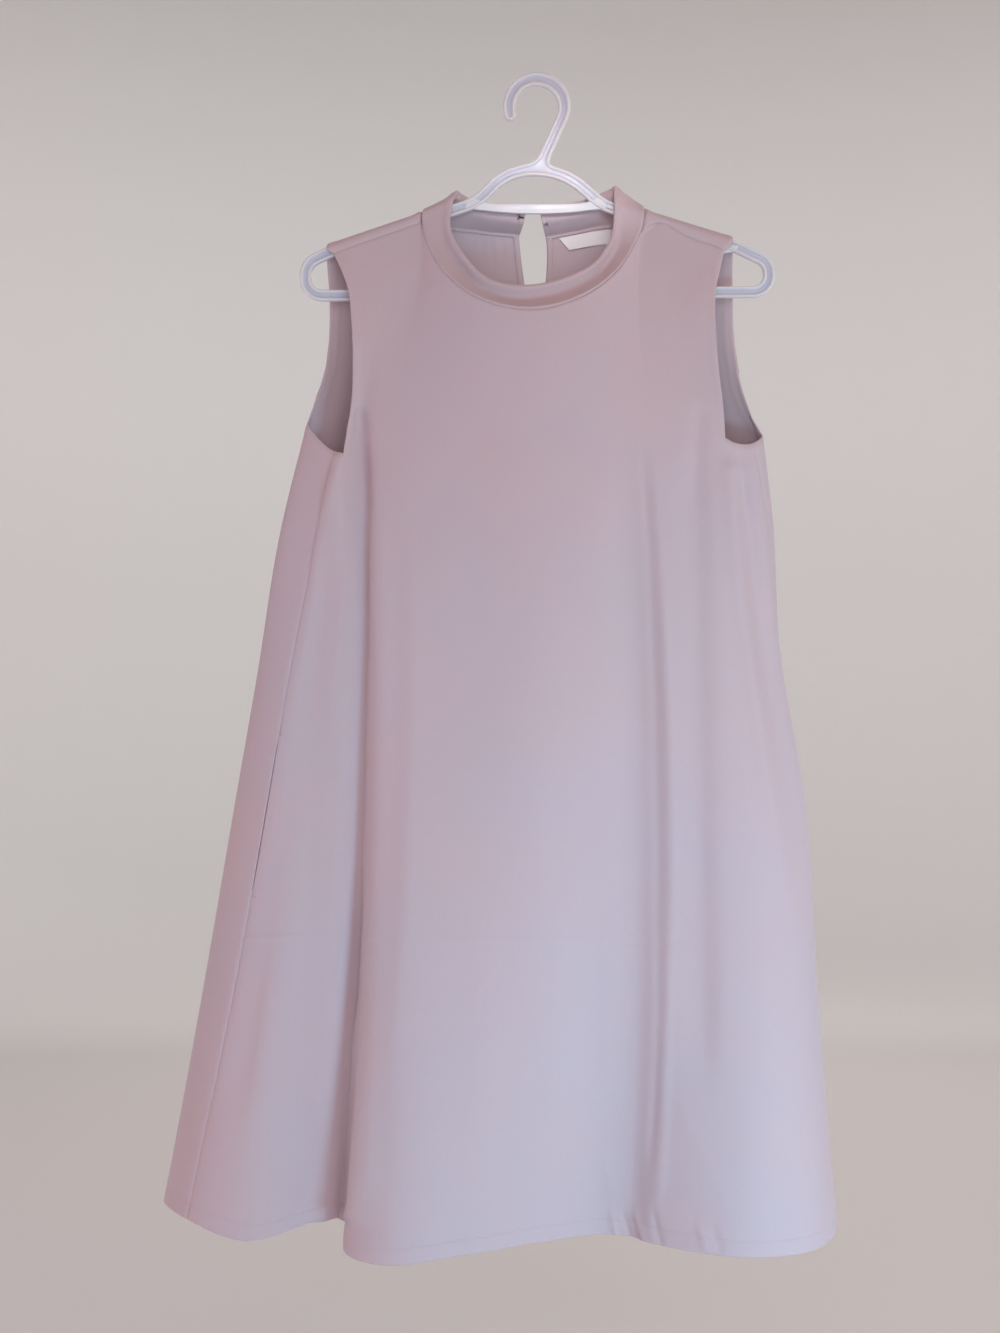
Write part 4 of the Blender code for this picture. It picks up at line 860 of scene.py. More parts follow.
def cloth_fields(skin):
    """How far each point of the skin moves outwards, how thick the cloth is there, and how
    far it is from a side seam."""
    points = skin.points
    count = len(points)
    lift = np.zeros(count)
    for panel, side, places, creases in (
            ("front", -1.0, to_picture(points), FRONT_CREASES),
            ("back", 1.0, points[:, [0, 2]], BACK_CREASES)):
        # a crease fades where the cloth turns away from its side
        facing = np.clip(side * skin.normals[:, 1] * 2.2 - 0.1, 0.0, 1.0)
        lift += crease_field(places, creases) * facing * skin.holds(panel)

    hem, along_hem, from_seam = np.full(count, FAR), np.zeros(count), np.full(count, FAR)
    for column in range(COUNT):
        numbers = skin.run([column], range(LAST_ROW + 1))
        hem[numbers] = chord_keys(points[numbers][::-1])[::-1]
    for row in range(LAST_ROW + 1):
        numbers = skin.run(range(COUNT), [row])
        along = chord_keys(points[numbers + numbers[:1]])
        along_hem[numbers] = along[:-1]
        for name in ("seam_left", "seam_right"):
            gap = np.abs(along[:-1] - along[STARTS[name]])
            gap = np.minimum(gap, along[-1] - gap)
            from_seam[numbers] = np.minimum(from_seam[numbers], gap)

    first, last = STARTS["ridge_left"], STARTS["ridge_right"]
    turn_left, turn_right = STARTS["turn_left"], STARTS["turn_right"]
    shoulder = points[skin.run(range(first, first + SHOULDER_COLUMNS + 1), [-BODICE_ROWS])
                      + skin.run(range(last - SHOULDER_COLUMNS, last + 1), [-BODICE_ROWS])]
    edges = []
    for column in (first, last):
        edges += skin.run([column], range(-BODICE_ROWS, 1))
    for column in (turn_right, turn_left):
        edges += skin.run([column], range(-BODICE_ROWS - STRIP_ROWS + 1, 1))
    for start, end in ((STARTS["seam_left"], first), (last, turn_right), (turn_left, COUNT)):
        edges += skin.run(range(start, end), [0])
    to_shoulder, along_shoulder = distance_to(points, shoulder)
    to_neck, along_neck = distance_to(points, NECK_SEAM)
    to_armhole, along_armhole = distance_to(points, points[edges])

    z = points[:, 2]
    measures = {"side seam": (from_seam, z), "shoulder seam": (to_shoulder, along_shoulder),
                "neck seam": (to_neck, along_neck * NECK_SPACING),
                "armhole": (to_armhole, along_armhole * ARMHOLE_SPACING),
                "hem": (hem, along_hem)}
    for row in SEWN_LINES:
        distance, along = measures[row.line]
        waves = 1.0 if row.wave is None else ripple(along, row.wave, row.seed)
        lift += row.out * waves * bell(distance - row.distance, row.width)
    # side seams sink, less along the pocket slits, and pucker in groups
    in_pocket = (z < POCKET_TOP_Z) & (z > POCKET_END_Z)
    sunk = bell(from_seam, 1.5) * 0.75 + bell(from_seam, 4.5) * 0.25
    lift -= 0.75 * sunk * np.where(in_pocket, 0.35, 1.0)
    lift += 0.60 * ripple(z, 15.0, 1.0) * ripple(z, 61.0, 2.0) * bell(from_seam - 4.0, 4.5)
    # gathers inside the back, below the left part of its neck seam
    gathers = bell(points[:, 0] + 38.0, 16.0) * bell(to_neck - 10.0, 12.0) * (points[:, 1] > 5)
    lift += 1.5 * np.sin(points[:, 0] / 8.2 * 2.0 * math.pi + 0.05 * z) * gathers
    # slanting puckers between the hem's stitching and its fold
    unevenness = 0.35 + 0.65 * np.abs(ripple(along_hem, 173.0, 6.0))
    lift += 0.34 * ripple(along_hem + 0.8 * hem, 17.0, 7.0) * unevenness * bell(hem - 9.0, 7.5)

    wall = WALL + (WALL + LAYER_GAP) * (1.0 - ramp(hem, HEM_DEPTH + 0.2, HEM_DEPTH + 1.4))
    wall -= 0.35 * bell(hem - (HEM_DEPTH - 0.4), 0.9)
    wall += FACING_WALL * (1.0 - ramp(to_armhole, FACING, FACING + 1.6))
    return Fields(lift, wall, from_seam)


# ================================================================ the panels

def panel_shape(skin, panel):
    """Points and faces of one side of the skin, a closed wall of cloth with rounded rims."""
    quads = np.asarray(skin.quads[panel])
    used = np.unique(quads)
    number = np.full(len(skin.points), -1)
    number[used] = np.arange(len(used))
    quads = number[quads]
    outer = skin.outside()[used]

    centre_of = np.mean(outer[quads], axis=1)
    inwards = np.zeros_like(outer)
    faces = quads.tolist()
    edges = {(a, b): index for index, face in enumerate(faces)
             for a, b in zip(face, face[1:] + face[:1])}
    rim = [(a, b) for a, b in edges if (b, a) not in edges]
    for a, b in rim:
        towards = unit(centre_of[edges[(a, b)]] - 0.5 * (outer[a] + outer[b]))
        inwards[a] += towards
        inwards[b] += towards
    inwards = unit(inwards)
    # the pocket slits stand open
    down = -outer[:, 2]
    opening = ramp(down, -POCKET_TOP_Z, -POCKET_TOP_Z + POCKET_EASE) * (
        1.0 - ramp(down, -POCKET_END_Z - POCKET_EASE, -POCKET_END_Z))
    on_seam = skin.fields.from_seam[used] < 0.5
    outer += inwards * (opening * on_seam * POCKET_GAPE[panel])[:, None]

    inner = outer - skin.normals[used] * skin.fields.wall[used][:, None]
    size = len(used)
    solid = faces + [[corner + size for corner in reversed(face)] for face in faces]
    rim_points = sorted({a for edge in rim for a in edge})
    rim_number = {a: 2 * size + index for index, a in enumerate(rim_points)}
    bulge = np.where(skin.sewn[used][rim_points], SEWN_ROLL, SEAM_ROLL)
    middle = 0.5 * (outer[rim_points] + inner[rim_points]) - inwards[rim_points] * bulge[:, None]
    for a, b in rim:
        solid.append([b, a, rim_number[a], rim_number[b]])
        solid.append([rim_number[b], rim_number[a], a + size, b + size])
    return np.concatenate([outer, inner, middle]), solid


def sewn_points(skin):
    """Whether each point of the skin lies on a seam."""
    sewn = distance_to(skin.points, NECK_SEAM)[0] < 0.05
    for name in ("seam_left", "seam_right"):
        numbers = np.array(skin.run([STARTS[name]], range(LAST_ROW + 1)))
        height = skin.points[numbers][:, 2]
        sewn[numbers[(height > POCKET_TOP_Z) | (height < POCKET_END_Z)]] = True
    top = range(STARTS["ridge_left"], STARTS["ridge_right"] + 1)
    sewn[skin.run(top, [-BODICE_ROWS])] = True
    return sewn


# ================================================================ pieces on the inside

BRIDGE, BRIDGE_EASE = 9, 6            # columns over which a hollow is bridged, and eased


class Surface:
    """The inside of the cloth, read at places given in the tables' columns and rows."""

    def __init__(self, skin):
        self.skin = skin
        self.inner = skin.points + skin.normals * (skin.fields.lift - skin.fields.wall)[:, None]
        # the same, with every fold's hollow bridged
        numbers = np.array([skin.run(range(COUNT), [row]) for row in range(LAST_ROW + 1)])
        lift = skin.fields.lift[numbers]
        deepest = lift
        for reach, pick in ((BRIDGE, np.min), (BRIDGE_EASE, np.mean)):
            deepest = pick([np.roll(deepest, shift, axis=1)
                            for shift in range(-reach, reach + 1)], axis=0)
        self.bridged = self.inner.copy()
        self.bridged[numbers] = skin.points[numbers] + skin.normals[numbers] * (
            np.minimum(deepest, lift) - WALL)[:, :, None]

    def read(self, place, row, towards, gap, bridged=False):
        """A point at a distance inside the cloth."""
        inner = self.bridged if bridged else self.inner
        steps = sum(line.steps for line in LINES)
        column = float(np.interp(place % steps, np.append(PLACES, steps), np.arange(COUNT + 1)))
        if row <= 0.0:
            fine_row = BODICE_ROWS * ((1.0 + row / BODICE_LEVELS)**(1.0 / TOP_CROWD) - 1.0)
        else:
            fine_row = float(np.interp(row / BODY_LEVELS, ROW_SHARES, np.arange(LAST_ROW + 1)))
        c, r = math.floor(column), math.floor(fine_row)
        u, v = column - c, fine_row - r
        total, normal = np.zeros(3), np.zeros(3)
        for dc, wc in ((0, 1.0 - u), (1, u)):
            for dr, wr in ((0, 1.0 - v), (1, v)):
                if wc * wr > 0.0:
                    number = self.skin.number[self.skin.key(c + dc, r + dr, towards)]
                    total += inner[number] * wc * wr
                    normal += self.skin.normals[number] * wc * wr
        return total - unit(normal) * gap

    def body_row(self, line, z):
        """The tables' row, below the underarms, where a line reaches a height."""
        height = self.skin.points[self.skin.run([STARTS[line]], range(LAST_ROW + 1))][:, 2]
        return float(np.interp(-z, -height, ROW_SHARES)) * BODY_LEVELS

    def lining(self, lines, shares, at, towards=0, bridged=False):
        """Two nets of points inside the cloth. For a line and a share along it, at gives the
        place and the row, and how far each net is from the cloth."""
        nets = ([], [])
        for line in lines:
            spots = [at(line, share) for share in shares]
            for net, layer in zip(nets, (2, 3)):
                net.append([self.read(spot[0], spot[1], towards, spot[layer], bridged)
                            for spot in spots])
        return nets


def slab(outer, inner, roll=0.25):
    """Points and faces of a closed sheet between two nets of points of the same shape."""
    outer, inner = np.asarray(outer), np.asarray(inner)
    rows, columns = outer.shape[:2]
    size = rows * columns
    points = np.concatenate([outer.reshape(-1, 3), inner.reshape(-1, 3)])
    front = grid_faces(rows, columns)
    faces = list(front) + [tuple(corner + size for corner in reversed(face)) for face in front]
    border = ([(0, c) for c in range(columns)] + [(r, columns - 1) for r in range(1, rows)]
              + [(rows - 1, c) for c in range(columns - 2, -1, -1)]
              + [(r, 0) for r in range(rows - 2, 0, -1)])
    middle = []
    centre = outer.reshape(-1, 3).mean(axis=0)
    for r, c in border:
        side = outer[r, c] - outer[min(max(r, 1), rows - 2), min(max(c, 1), columns - 2)]
        side = unit(side) if np.linalg.norm(side) > 1e-6 else unit(outer[r, c] - centre)
        middle.append(0.5 * (outer[r, c] + inner[r, c]) + side * roll)
    start = len(points)
    points = np.concatenate([points, middle])
    count = len(border)
    for index in range(count):
        a = border[index][0] * columns + border[index][1]
        after = (index + 1) % count
        b = border[after][0] * columns + border[after][1]
        faces.append((b, a, start + index, start + after))
        faces.append((start + after, start + index, a + size, b + size))
    return points, outwards(points, faces)


# A pocket bag's heights, how far in it reaches there as a share, and the tables' steps that
# its widest part takes up. Its net has the given rows and columns.
POCKET_BAG_TOP_Z, POCKET_BAG_END_Z = -556.0, -800.0
BAG_DOWN = (0.0, 0.04, 0.18, 0.48, 0.72, 0.87, 0.97, 1.0)
BAG_IN = (0.30, 0.55, 0.80, 1.0, 1.0, 0.93, 0.78, 0.60)
BAG_REACH = {"left": 7.0, "right": -8.0}
BAG_ROWS, BAG_COLUMNS = 64, 84
BAG_START = 0.12                    # steps from the seam
BAG_GAP, BAG_WALL, BAG_PUFF, BAG_RUFFLE = 1.3, 1.0, 1.1, 0.3


def pocket_bag(surface, side):
    """A pocket bag: two layers of thin cloth sewn round, hanging inside the front."""
    seam, reach = "seam_" + side, BAG_REACH[side]
    base = PLACES[STARTS[seam]] + math.copysign(BAG_START, reach)
    top, end = (surface.body_row(seam, z) for z in (POCKET_BAG_TOP_Z, POCKET_BAG_END_Z))
    downs = [0.5 - 0.5 * math.cos(math.pi * row / BAG_ROWS) for row in range(BAG_ROWS + 1)]
    widths = smooth(BAG_DOWN, np.array(BAG_IN)[:, None], downs)[:, 0]

    def at(line, share):
        down, widest = line
        rim = min(share, 1.0 - share, down, 1.0 - down) * 2.0
        puff = BAG_PUFF * (1.0 - math.exp(-rim * 7.0))
        ruffle = BAG_RUFFLE * math.sin(down * 21.0 + share * 5.0) * (1.0 - math.exp(-rim * 9.0))
        return (base + reach * widest * share, top + (end - top) * down, BAG_GAP,
                BAG_GAP + BAG_WALL + puff + ruffle)

    shares = [column / BAG_COLUMNS for column in range(BAG_COLUMNS + 1)]
    return slab(*surface.lining(list(zip(downs, widths)), shares, at, bridged=True))


BINDING_WIDTH, BINDING_END_ROW = 4.6, -3.2
BINDING_SHARES = (0.0, 0.12, 0.3, 0.5, 0.7, 0.88, 1.0)
BINDING_GAP, BINDING_BACK, BINDING_CROWN = 0.15, 1.0, 0.35
BINDING_STITCH, STITCH_SHARE = 0.22, 0.8     # how far its stitching draws in, and where


def slit_binding(surface, side):
    """The narrow folded strip along one edge of the slit, inside the back."""
    sign = 1 if side == "left" else -1
    centre = PLACES[STARTS["back_centre"]]
    lines = []
    for row in np.linspace(-BODICE_LEVELS + 0.03, BINDING_END_ROW, 60):
        first, beside = (surface.read(centre + sign * step, row, sign, 0.0)
                         for step in (0.001, 1.0))
        lines.append((row, BINDING_WIDTH / np.linalg.norm(beside - first)))

    def at(line, share):
        row, width = line
        crown = BINDING_CROWN * math.sin(math.pi * share)
        stitched = BINDING_STITCH * math.exp(-((share - STITCH_SHARE) / 0.07)**2)
        return (centre + sign * (0.012 + width * share), row, BINDING_GAP,
                BINDING_BACK + crown - stitched)

    return slab(*surface.lining(lines, BINDING_SHARES, at, sign))


LABEL_START, LABEL_LENGTH, LABEL_HEIGHT, LABEL_MITRE = 11.0, 62.0, 9.8, 9.0
LABEL_WALL, LABEL_GAP, LABEL_CURL = 0.55, 0.25, 1.6
LABEL_LEVEL = 16.2                  # the height of one of the tables' rows there
LABEL_COLUMNS, LABEL_ROWS = 40, 12


def neck_label(surface):
    """The blank tape sewn into the back neck seam, right of the slit."""
    seam = neck_run("slit_right", "nape_right")
    lengths = chord_keys(seam)
    centre = PLACES[STARTS["back_centre"]]

    def at(share, down):
        along = LABEL_LENGTH * share
        back = float(np.interp(LABEL_START + along, lengths, np.arange(len(seam)))) / COLUMNS
        depth = max(LABEL_HEIGHT * min(along / LABEL_MITRE, 1.0), 0.5)
        curl = down**1.5 * math.sin(math.pi * min(share * 1.3 + 0.12, 1.0))
        lift = LABEL_GAP + LABEL_CURL * curl
        row = -BODICE_LEVELS + 0.08 + down * depth / LABEL_LEVEL
        return centre - back, row, lift, lift + LABEL_WALL

    lines = [column / LABEL_COLUMNS for column in range(LABEL_COLUMNS + 1)]
    shares = [row / LABEL_ROWS for row in range(LABEL_ROWS + 1)]
    return slab(*surface.lining(lines, shares, at, -1), 0.12)


# ================================================================ the collar

# The band's rise at the points of a section, and the turns of the round fold on its top.
COLLAR_RISES = (0, .02, .045, .09, .15, .22, .3, .38, .46, .54, .61, .67, .72, .76, .79, .82,
                .85, .88, .91, .95, 1.0)
SIDE = len(COLLAR_RISES)
CROWN_TURNS, CROWN_HEIGHT = np.radians((22, 48, 75, 105, 132, 158)), 1.55
COLLAR_DIP = 1.12                   # how much deeper the band's hollow is than in the table
END_FOLD = 3.6                      # how far from each end of the band its turning shows
END_LEAN, END_BULGE = 0.62, 0.55    # the fold that closes an end, by its two faces
END_REACH, END_STEP, BAND_STEP = 7.0, 0.45, 1.7
INSIDE_LINE = -9                    # a point of a section on the band's inside
# How far the band's puckers, its slow waves and the roll of its seam stand out, with the
# length of the waves, the rise at which the puckers are strongest, and how far from the
# band's ends they fade.
BAND_PUCKER, BAND_PUCKER_WAVE, BAND_PUCKER_RISE = 0.28, 13.0, 0.12
BAND_WAVE, BAND_WAVE_LENGTH, BAND_ROLL, BAND_FADE = 0.5, 52.0, 1.6, 20.0
BAND_LEAST_WALL = 1.3


def collar_sections(skin):
    """Sections of the folded collar band along the neck seam."""
    dips = smooth(STATION_KEYS, [[place.dip] for place in STATIONS], NECK_KEYS)[:, 0]
    inside = -skin.normals[distance_to(NECK_SEAM, skin.points)[1]]
    profile = smooth([row.rise for row in COLLAR_PROFILE],
                     [(row.dip, row.wall) for row in COLLAR_PROFILE], COLLAR_RISES)
    keys = chord_keys(NECK_SEAM)
    sections = []
    for index, (seam, top, key) in enumerate(zip(NECK_SEAM, NECK_TOP, keys)):
        before, after = max(index - 2, 0), min(index + 2, len(keys) - 1)
        along = unit(unit(NECK_SEAM[after] - NECK_SEAM[before])
                     + unit(NECK_TOP[after] - NECK_TOP[before]))
        up = unit(top - seam)
        across = unit(np.cross(along, up))
        if np.dot(across, inside[index]) < 0:
            across = -across
        base = seam + up * 0.3
        fades = min(1.0, key / BAND_FADE, (keys[-1] - key) / BAND_FADE)
        outer, inner = [], []
        for (dip, wall), rise in zip(profile, COLLAR_RISES):
            lean = min(rise / 0.3, 1.0)
            inwards = unit(inside[index] * (1.0 - lean) + across * lean)
            # puckers beside the seam, slow waves along the band, and the seam's own roll
            puck = BAND_PUCKER * float(ripple(key, BAND_PUCKER_WAVE, 9.0)) * math.exp(
                -((rise - BAND_PUCKER_RISE) / 0.12)**2)
            wave = BAND_WAVE * float(ripple(key, BAND_WAVE_LENGTH, 10.0)) * math.sin(
                math.pi * rise)
            seam_roll = (BAND_ROLL * math.exp(-(rise / 0.028)**2)
                         - 0.35 * float(bell(rise - 0.09, 0.05)))
            bow = dip * dips[index] * COLLAR_DIP + seam_roll - (puck + wave) * fades
            point = base + (top - base) * rise + across * bow
            # the band is thinner where it lies over the hanger's arm
            over_arm = bell(seam[1], 7.0) * (1.0 - ramp(rise, 0.2, 0.5))
            outer.append(point)
            inner.append(point + inwards * max(wall, BAND_LEAST_WALL) * (1.0 - 0.5 * over_arm))
        middle = 0.5 * (outer[-1] + inner[-1])
        half = 0.5 * (outer[-1] - inner[-1])
        crown = [middle + half * math.cos(turn) + up * CROWN_HEIGHT * math.sin(turn)
                 for turn in CROWN_TURNS]
        sections.append(outer + crown + inner[::-1])
    return refined_sections(np.array(sections), keys)


def refined_sections(sections, keys):
    """The band's sections, closer together, with the turned-in layer showing at its ends."""
    count, size = sections.shape[:2]
    total = keys[-1]
    fine = np.concatenate([np.arange(0.0, END_REACH, END_STEP),
                           np.arange(END_REACH, total - END_REACH, BAND_STEP),
                           total - np.arange(END_REACH, 0.0, -END_STEP), [total]])
    found = smooth(keys, sections.reshape(count, -1), fine).reshape(len(fine), size, 3)
    from_end = np.minimum(fine, total - fine)
    step = 0.30 * ramp(-from_end, -END_FOLD - 0.3, -END_FOLD + 0.3) \
        - 0.32 * bell(from_end - END_FOLD, 0.5)
    for corner in range(SIDE):
        mate = size - 1 - corner
        found[:, mate] += unit(found[:, mate] - found[:, corner]) * step[:, None]
    return found


def collar_shape(sections):
    """Points and faces of the collar, with its two ends closed by a soft fold."""
    count, size = sections.shape[:2]
    ends = []
    for ring, beside in ((sections[0], sections[1]), (sections[-1], sections[-2])):
        along = unit(ring.mean(axis=0) - beside.mean(axis=0))
        ends.append([ring * END_LEAN + ring[::-1] * (1.0 - END_LEAN) + along * END_BULGE])
    points = np.concatenate([ends[0], sections, ends[1]]).reshape(-1, 3)
    faces = grid_faces(count + 2, size, closed=True)
    for first in (0, (count + 1) * size):
        for corner in range(size // 2 - 1):
            a, b = first + corner, first + corner + 1
            c, d = first + size - 2 - corner, first + size - 1 - corner
            faces.append((b, a, d, c) if first == 0 else (a, b, c, d))
    return points, outwards(points, faces)


def band_frame(sections, end, inset, rise):
    """A place on the band's inside near one end, with its directions away from the end, up
    the band and out of its face."""
    order = sections if end == "left" else sections[::-1]
    line = order[:, INSIDE_LINE]
    index = int(np.argmin(np.abs(chord_keys(line) - inset)))
    rising = order[index, -SIDE:][::-1]
    heights = chord_keys(rising)
    shares = np.array([rise - 0.08, rise, rise + 0.08])
    low, place, high = read_along(heights, rising, shares * heights[-1])
    away = unit(line[index + 3] - line[max(index - 3, 0)])
    out = unit(np.cross(away, unit(high - low)))
    if out[1] > 0.0:
        out = -out
    up = np.cross(out, away)
    return place, away, unit(up) * math.copysign(1.0, up[2]), out


WIRE_RADIUS, EYE_SIZE = 0.22, 0.66


def bent_wire(frame_at, path, size=1.0):
    """A fine wire through places given away from the band's end, up it and out of it."""
    place, away, up, out = frame_at
    path = [place + (away * a + up * u) * size + out * n * max(size, 0.8) for a, u, n in path]
    keys = chord_keys(path)
    return tube(smooth(keys, path, np.linspace(0.0, keys[-1], 110)), WIRE_RADIUS * size, 8)


# Half the bill of a dress hook, bent back over its shank, and half the bow of an eye.
HOOK_BILL = [(1.8, -0.42, 0.45), (0.2, -0.40, 0.45), (-0.9, -0.38, 0.75), (-1.25, -0.36, 1.25),
             (-0.85, -0.34, 1.75), (0.1, -0.34, 1.85), (1.0, -0.32, 1.65), (1.5, 0.0, 1.5)]
EYE_BOW = [(2.0, -0.7, 0.5), (0.9, -1.05, 0.6), (-0.1, -1.0, 0.7), (-0.85, -0.55, 0.75),
           (-1.1, 0.0, 0.75)]
RING_AWAY, RING_UP, RING_RADIUS, RING_OUT = 3.3, -1.25, 0.85, 0.32


def sewn_wire(bow):
    """Places along a hook or an eye: a small ring by which it is sewn on, half of its bow,
    and the same on the other side."""
    ring = [(RING_AWAY + RING_RADIUS * math.cos(turn), RING_UP - RING_RADIUS * math.sin(turn),
             RING_OUT)
            for turn in np.linspace(-0.5 * math.pi, 1.55 * math.pi, 9)]
    half = ring + bow
    return half + [(a, -u, n) for a, u, n in reversed(half[:-1])]


# ================================================================ the hanger

def rounded_loop(corners):
    """Points of a closed outline in x and z whose corners are rounded by arcs."""
    found = []
    places = [np.array([corner.x, corner.z]) for corner in corners]
    for index, corner in enumerate(corners):
        here = places[index]
        back = unit(places[index - 1] - here)
        ahead = unit(places[(index + 1) % len(places)] - here)
        turn = math.pi - math.acos(float(np.clip(np.dot(back, ahead), -1.0, 1.0)))
        reach = corner.radius * math.tan(0.5 * turn)
        centre = here + unit(back + ahead) * corner.radius / math.cos(0.5 * turn)
        x, z = here + back * reach - centre
        side = math.copysign(1.0, back[1] * ahead[0] - back[0] * ahead[1])
        steps = max(2, math.ceil(math.degrees(turn) / ROUNDING_STEP))
        for part in range(steps + 1):
            angle = side * turn * part / steps
            cos, sin = math.cos(angle), math.sin(angle)
            found.append(centre + np.array([x * cos - z * sin, x * sin + z * cos]))
    return np.array(found)


def resampled(outline, spacing):
    """A closed outline in x and z with even spacing, with any values that go with it."""
    closed = np.vstack([outline, outline[:1]])
    keys = chord_keys(closed[:, :2])
    keep = np.concatenate(([True], np.diff(keys) > 1e-9))
    closed, keys = closed[keep], keys[keep]
    at = np.linspace(0.0, keys[-1], round(keys[-1] / spacing) + 1)[:-1]
    return read_along(keys, closed, at)


def left_of(path, closed):
    """Unit vectors to the left of a path in x and z."""
    run = (np.roll(path, -1, axis=0) - np.roll(path, 1, axis=0) if closed
           else np.gradient(path, axis=0))
    run = unit(run)
    return np.column_stack([-run[:, 1], run[:, 0]])


def inwards_of(outline):
    """Unit vectors into the area that a closed outline in x and z goes round."""
    x, z = outline.T
    area = np.sum(x * np.roll(z, -1) - np.roll(x, -1) * z)
    return left_of(outline, True) * math.copysign(1.0, area)


def fillet(start, leaving, end, arriving, count):
    """Points between two ends on a cubic curve that leaves and arrives in given directions."""
    reach = np.linalg.norm(start - end) * FILLET_REACH
    b, c = start + leaving * reach, end - arriving * reach
    t = np.linspace(0.0, 1.0, count)[1:-1, None]
    return (1 - t)**3 * start + 3 * (1 - t)**2 * t * b + 3 * (1 - t) * t**2 * c + t**3 * end


def hook_line():
    """The stem's and hook's centre line from inside the arch to the tip, with its width."""
    centre = np.array([HOOK_CENTRE_X, -HOOK_RADIUS + 0.5 * FACE * HOOK_WIDEN])
    angles = np.radians(np.linspace(HOOK_START, HOOK_END, 76))
    arc = np.array([centre + HOOK_RADIUS * np.array([math.cos(a), math.sin(a)]) for a in angles])
    down = np.array([math.sin(angles[0]), -math.cos(angles[0])])
    stem = np.array([arc[0] + down * STEM_LENGTH * (1.0 - share)
                     for share in np.linspace(0.0, 1.0, 26)[:-1]])
    path = np.concatenate([stem, arc])
    keys = chord_keys(path)
    share = keys / keys[-1]
    # widest a little past the hook's top, and a little narrower up the stem
    width = 1.0 + (HOOK_WIDEN - 1.0) * np.exp(-((share - 0.62) / 0.2)**2)
    width *= 1.0 - 0.10 * ramp(share, 0.0, 0.34) * (1.0 - ramp(share, 0.34, 0.5))
    return path, width


def hanger_outline():
    """The moulding's outline and its hole in x and z. The outline has its width and its
    depth as shares beside it."""
    loop = resampled(rounded_loop(HANGER_CORNERS), OUTLINE_STEP)
    # the arch takes the place of the loop's points between its feet
    in_arch = (np.abs(loop[:, 0]) < ARCH[-1][0]) & (loop[:, 1] > ARCH[0][1] - FOOT_MARGIN)
    shift = -int(np.argmax(~in_arch & np.roll(in_arch, 1)))
    rest = np.roll(loop, shift, axis=0)[~np.roll(in_arch, shift)]
    ends = [(x, arm_line(x)[0]) for x in (ARCH[0][0] - ARCH_LEAD, ARCH[-1][0] + ARCH_LEAD)]
    arch = np.array([ends[0], *ARCH, ends[1]])
    keys = chord_keys(arch)
    arch = smooth(keys, arch, np.arange(keys[1], keys[-2], OUTLINE_STEP))
    if np.linalg.norm(rest[-1] - arch[0]) > np.linalg.norm(rest[-1] - arch[-1]):
        arch = arch[::-1]
    loop = resampled(np.concatenate([rest, arch]), OUTLINE_STEP)
    inwards = inwards_of(loop)
    half = 0.5 * FACE
    outer, inner = loop - inwards * half, loop + inwards * half

    path, width = hook_line()
    side = left_of(path, False)
    hook_left = path + side * (half * width)[:, None]
    hook_right = path - side * (half * width)[:, None]
    tip_half = half * width[-1]
    run = unit(path[-1] - path[-2])
    tip = [path[-1] + side[-1] * tip_half * math.cos(turn)
           + run * tip_half * TIP_BULGE * math.sin(turn)
           for turn in np.linspace(0.0, math.pi, 15)[1:-1]]

    # the stem cuts the arch, with fillets where its two sides meet it
    stem_right = hook_right[hook_right[:, 1] > STEM_RIGHT_Z]
    stem_left = hook_left[hook_left[:, 1] > STEM_LEFT_Z]
    cut = ((outer[:, 1] > STEM_CUT_Z) & (outer[:, 0] > STEM_CUT_LEFT)
           & (outer[:, 0] < STEM_CUT_RIGHT))
    order = np.roll(np.arange(len(outer)), -int(np.argmax(cut)))
    rest = outer[order[~cut[order]]]
    if rest[0][0] < rest[-1][0]:
        rest = rest[::-1]
    # rest now starts right of the stem and goes round to the left of it
    outline = np.concatenate([
        stem_left, tip, stem_right[::-1],
        fillet(stem_right[0], unit(stem_right[0] - stem_right[3]), rest[0],
               unit(rest[1] - rest[0]), 12),
        rest,
        fillet(rest[-1], unit(rest[-1] - rest[-2]), stem_left[0],
               unit(stem_left[3] - stem_left[0]), 14)])
    near, which = distance_to(outline, path)
    wide = np.where((near < half * width[which] * 1.2) & (outline[:, 1] > HOOK_WIDE_Z),
                    width[which], 1.0)
    deep = np.where(outline[:, 1] > HOOK_DEEP_Z, 1.0, 0.0)
    # the stem passes softly into the arch
    kernel = np.ones(9) / 9
    for _ in range(3):
        wide, deep = (np.convolve(np.pad(value, 4, mode="wrap"), kernel, mode="valid")
                      for value in (wide, deep))
    return np.column_stack([outline, wide, deep]), inner


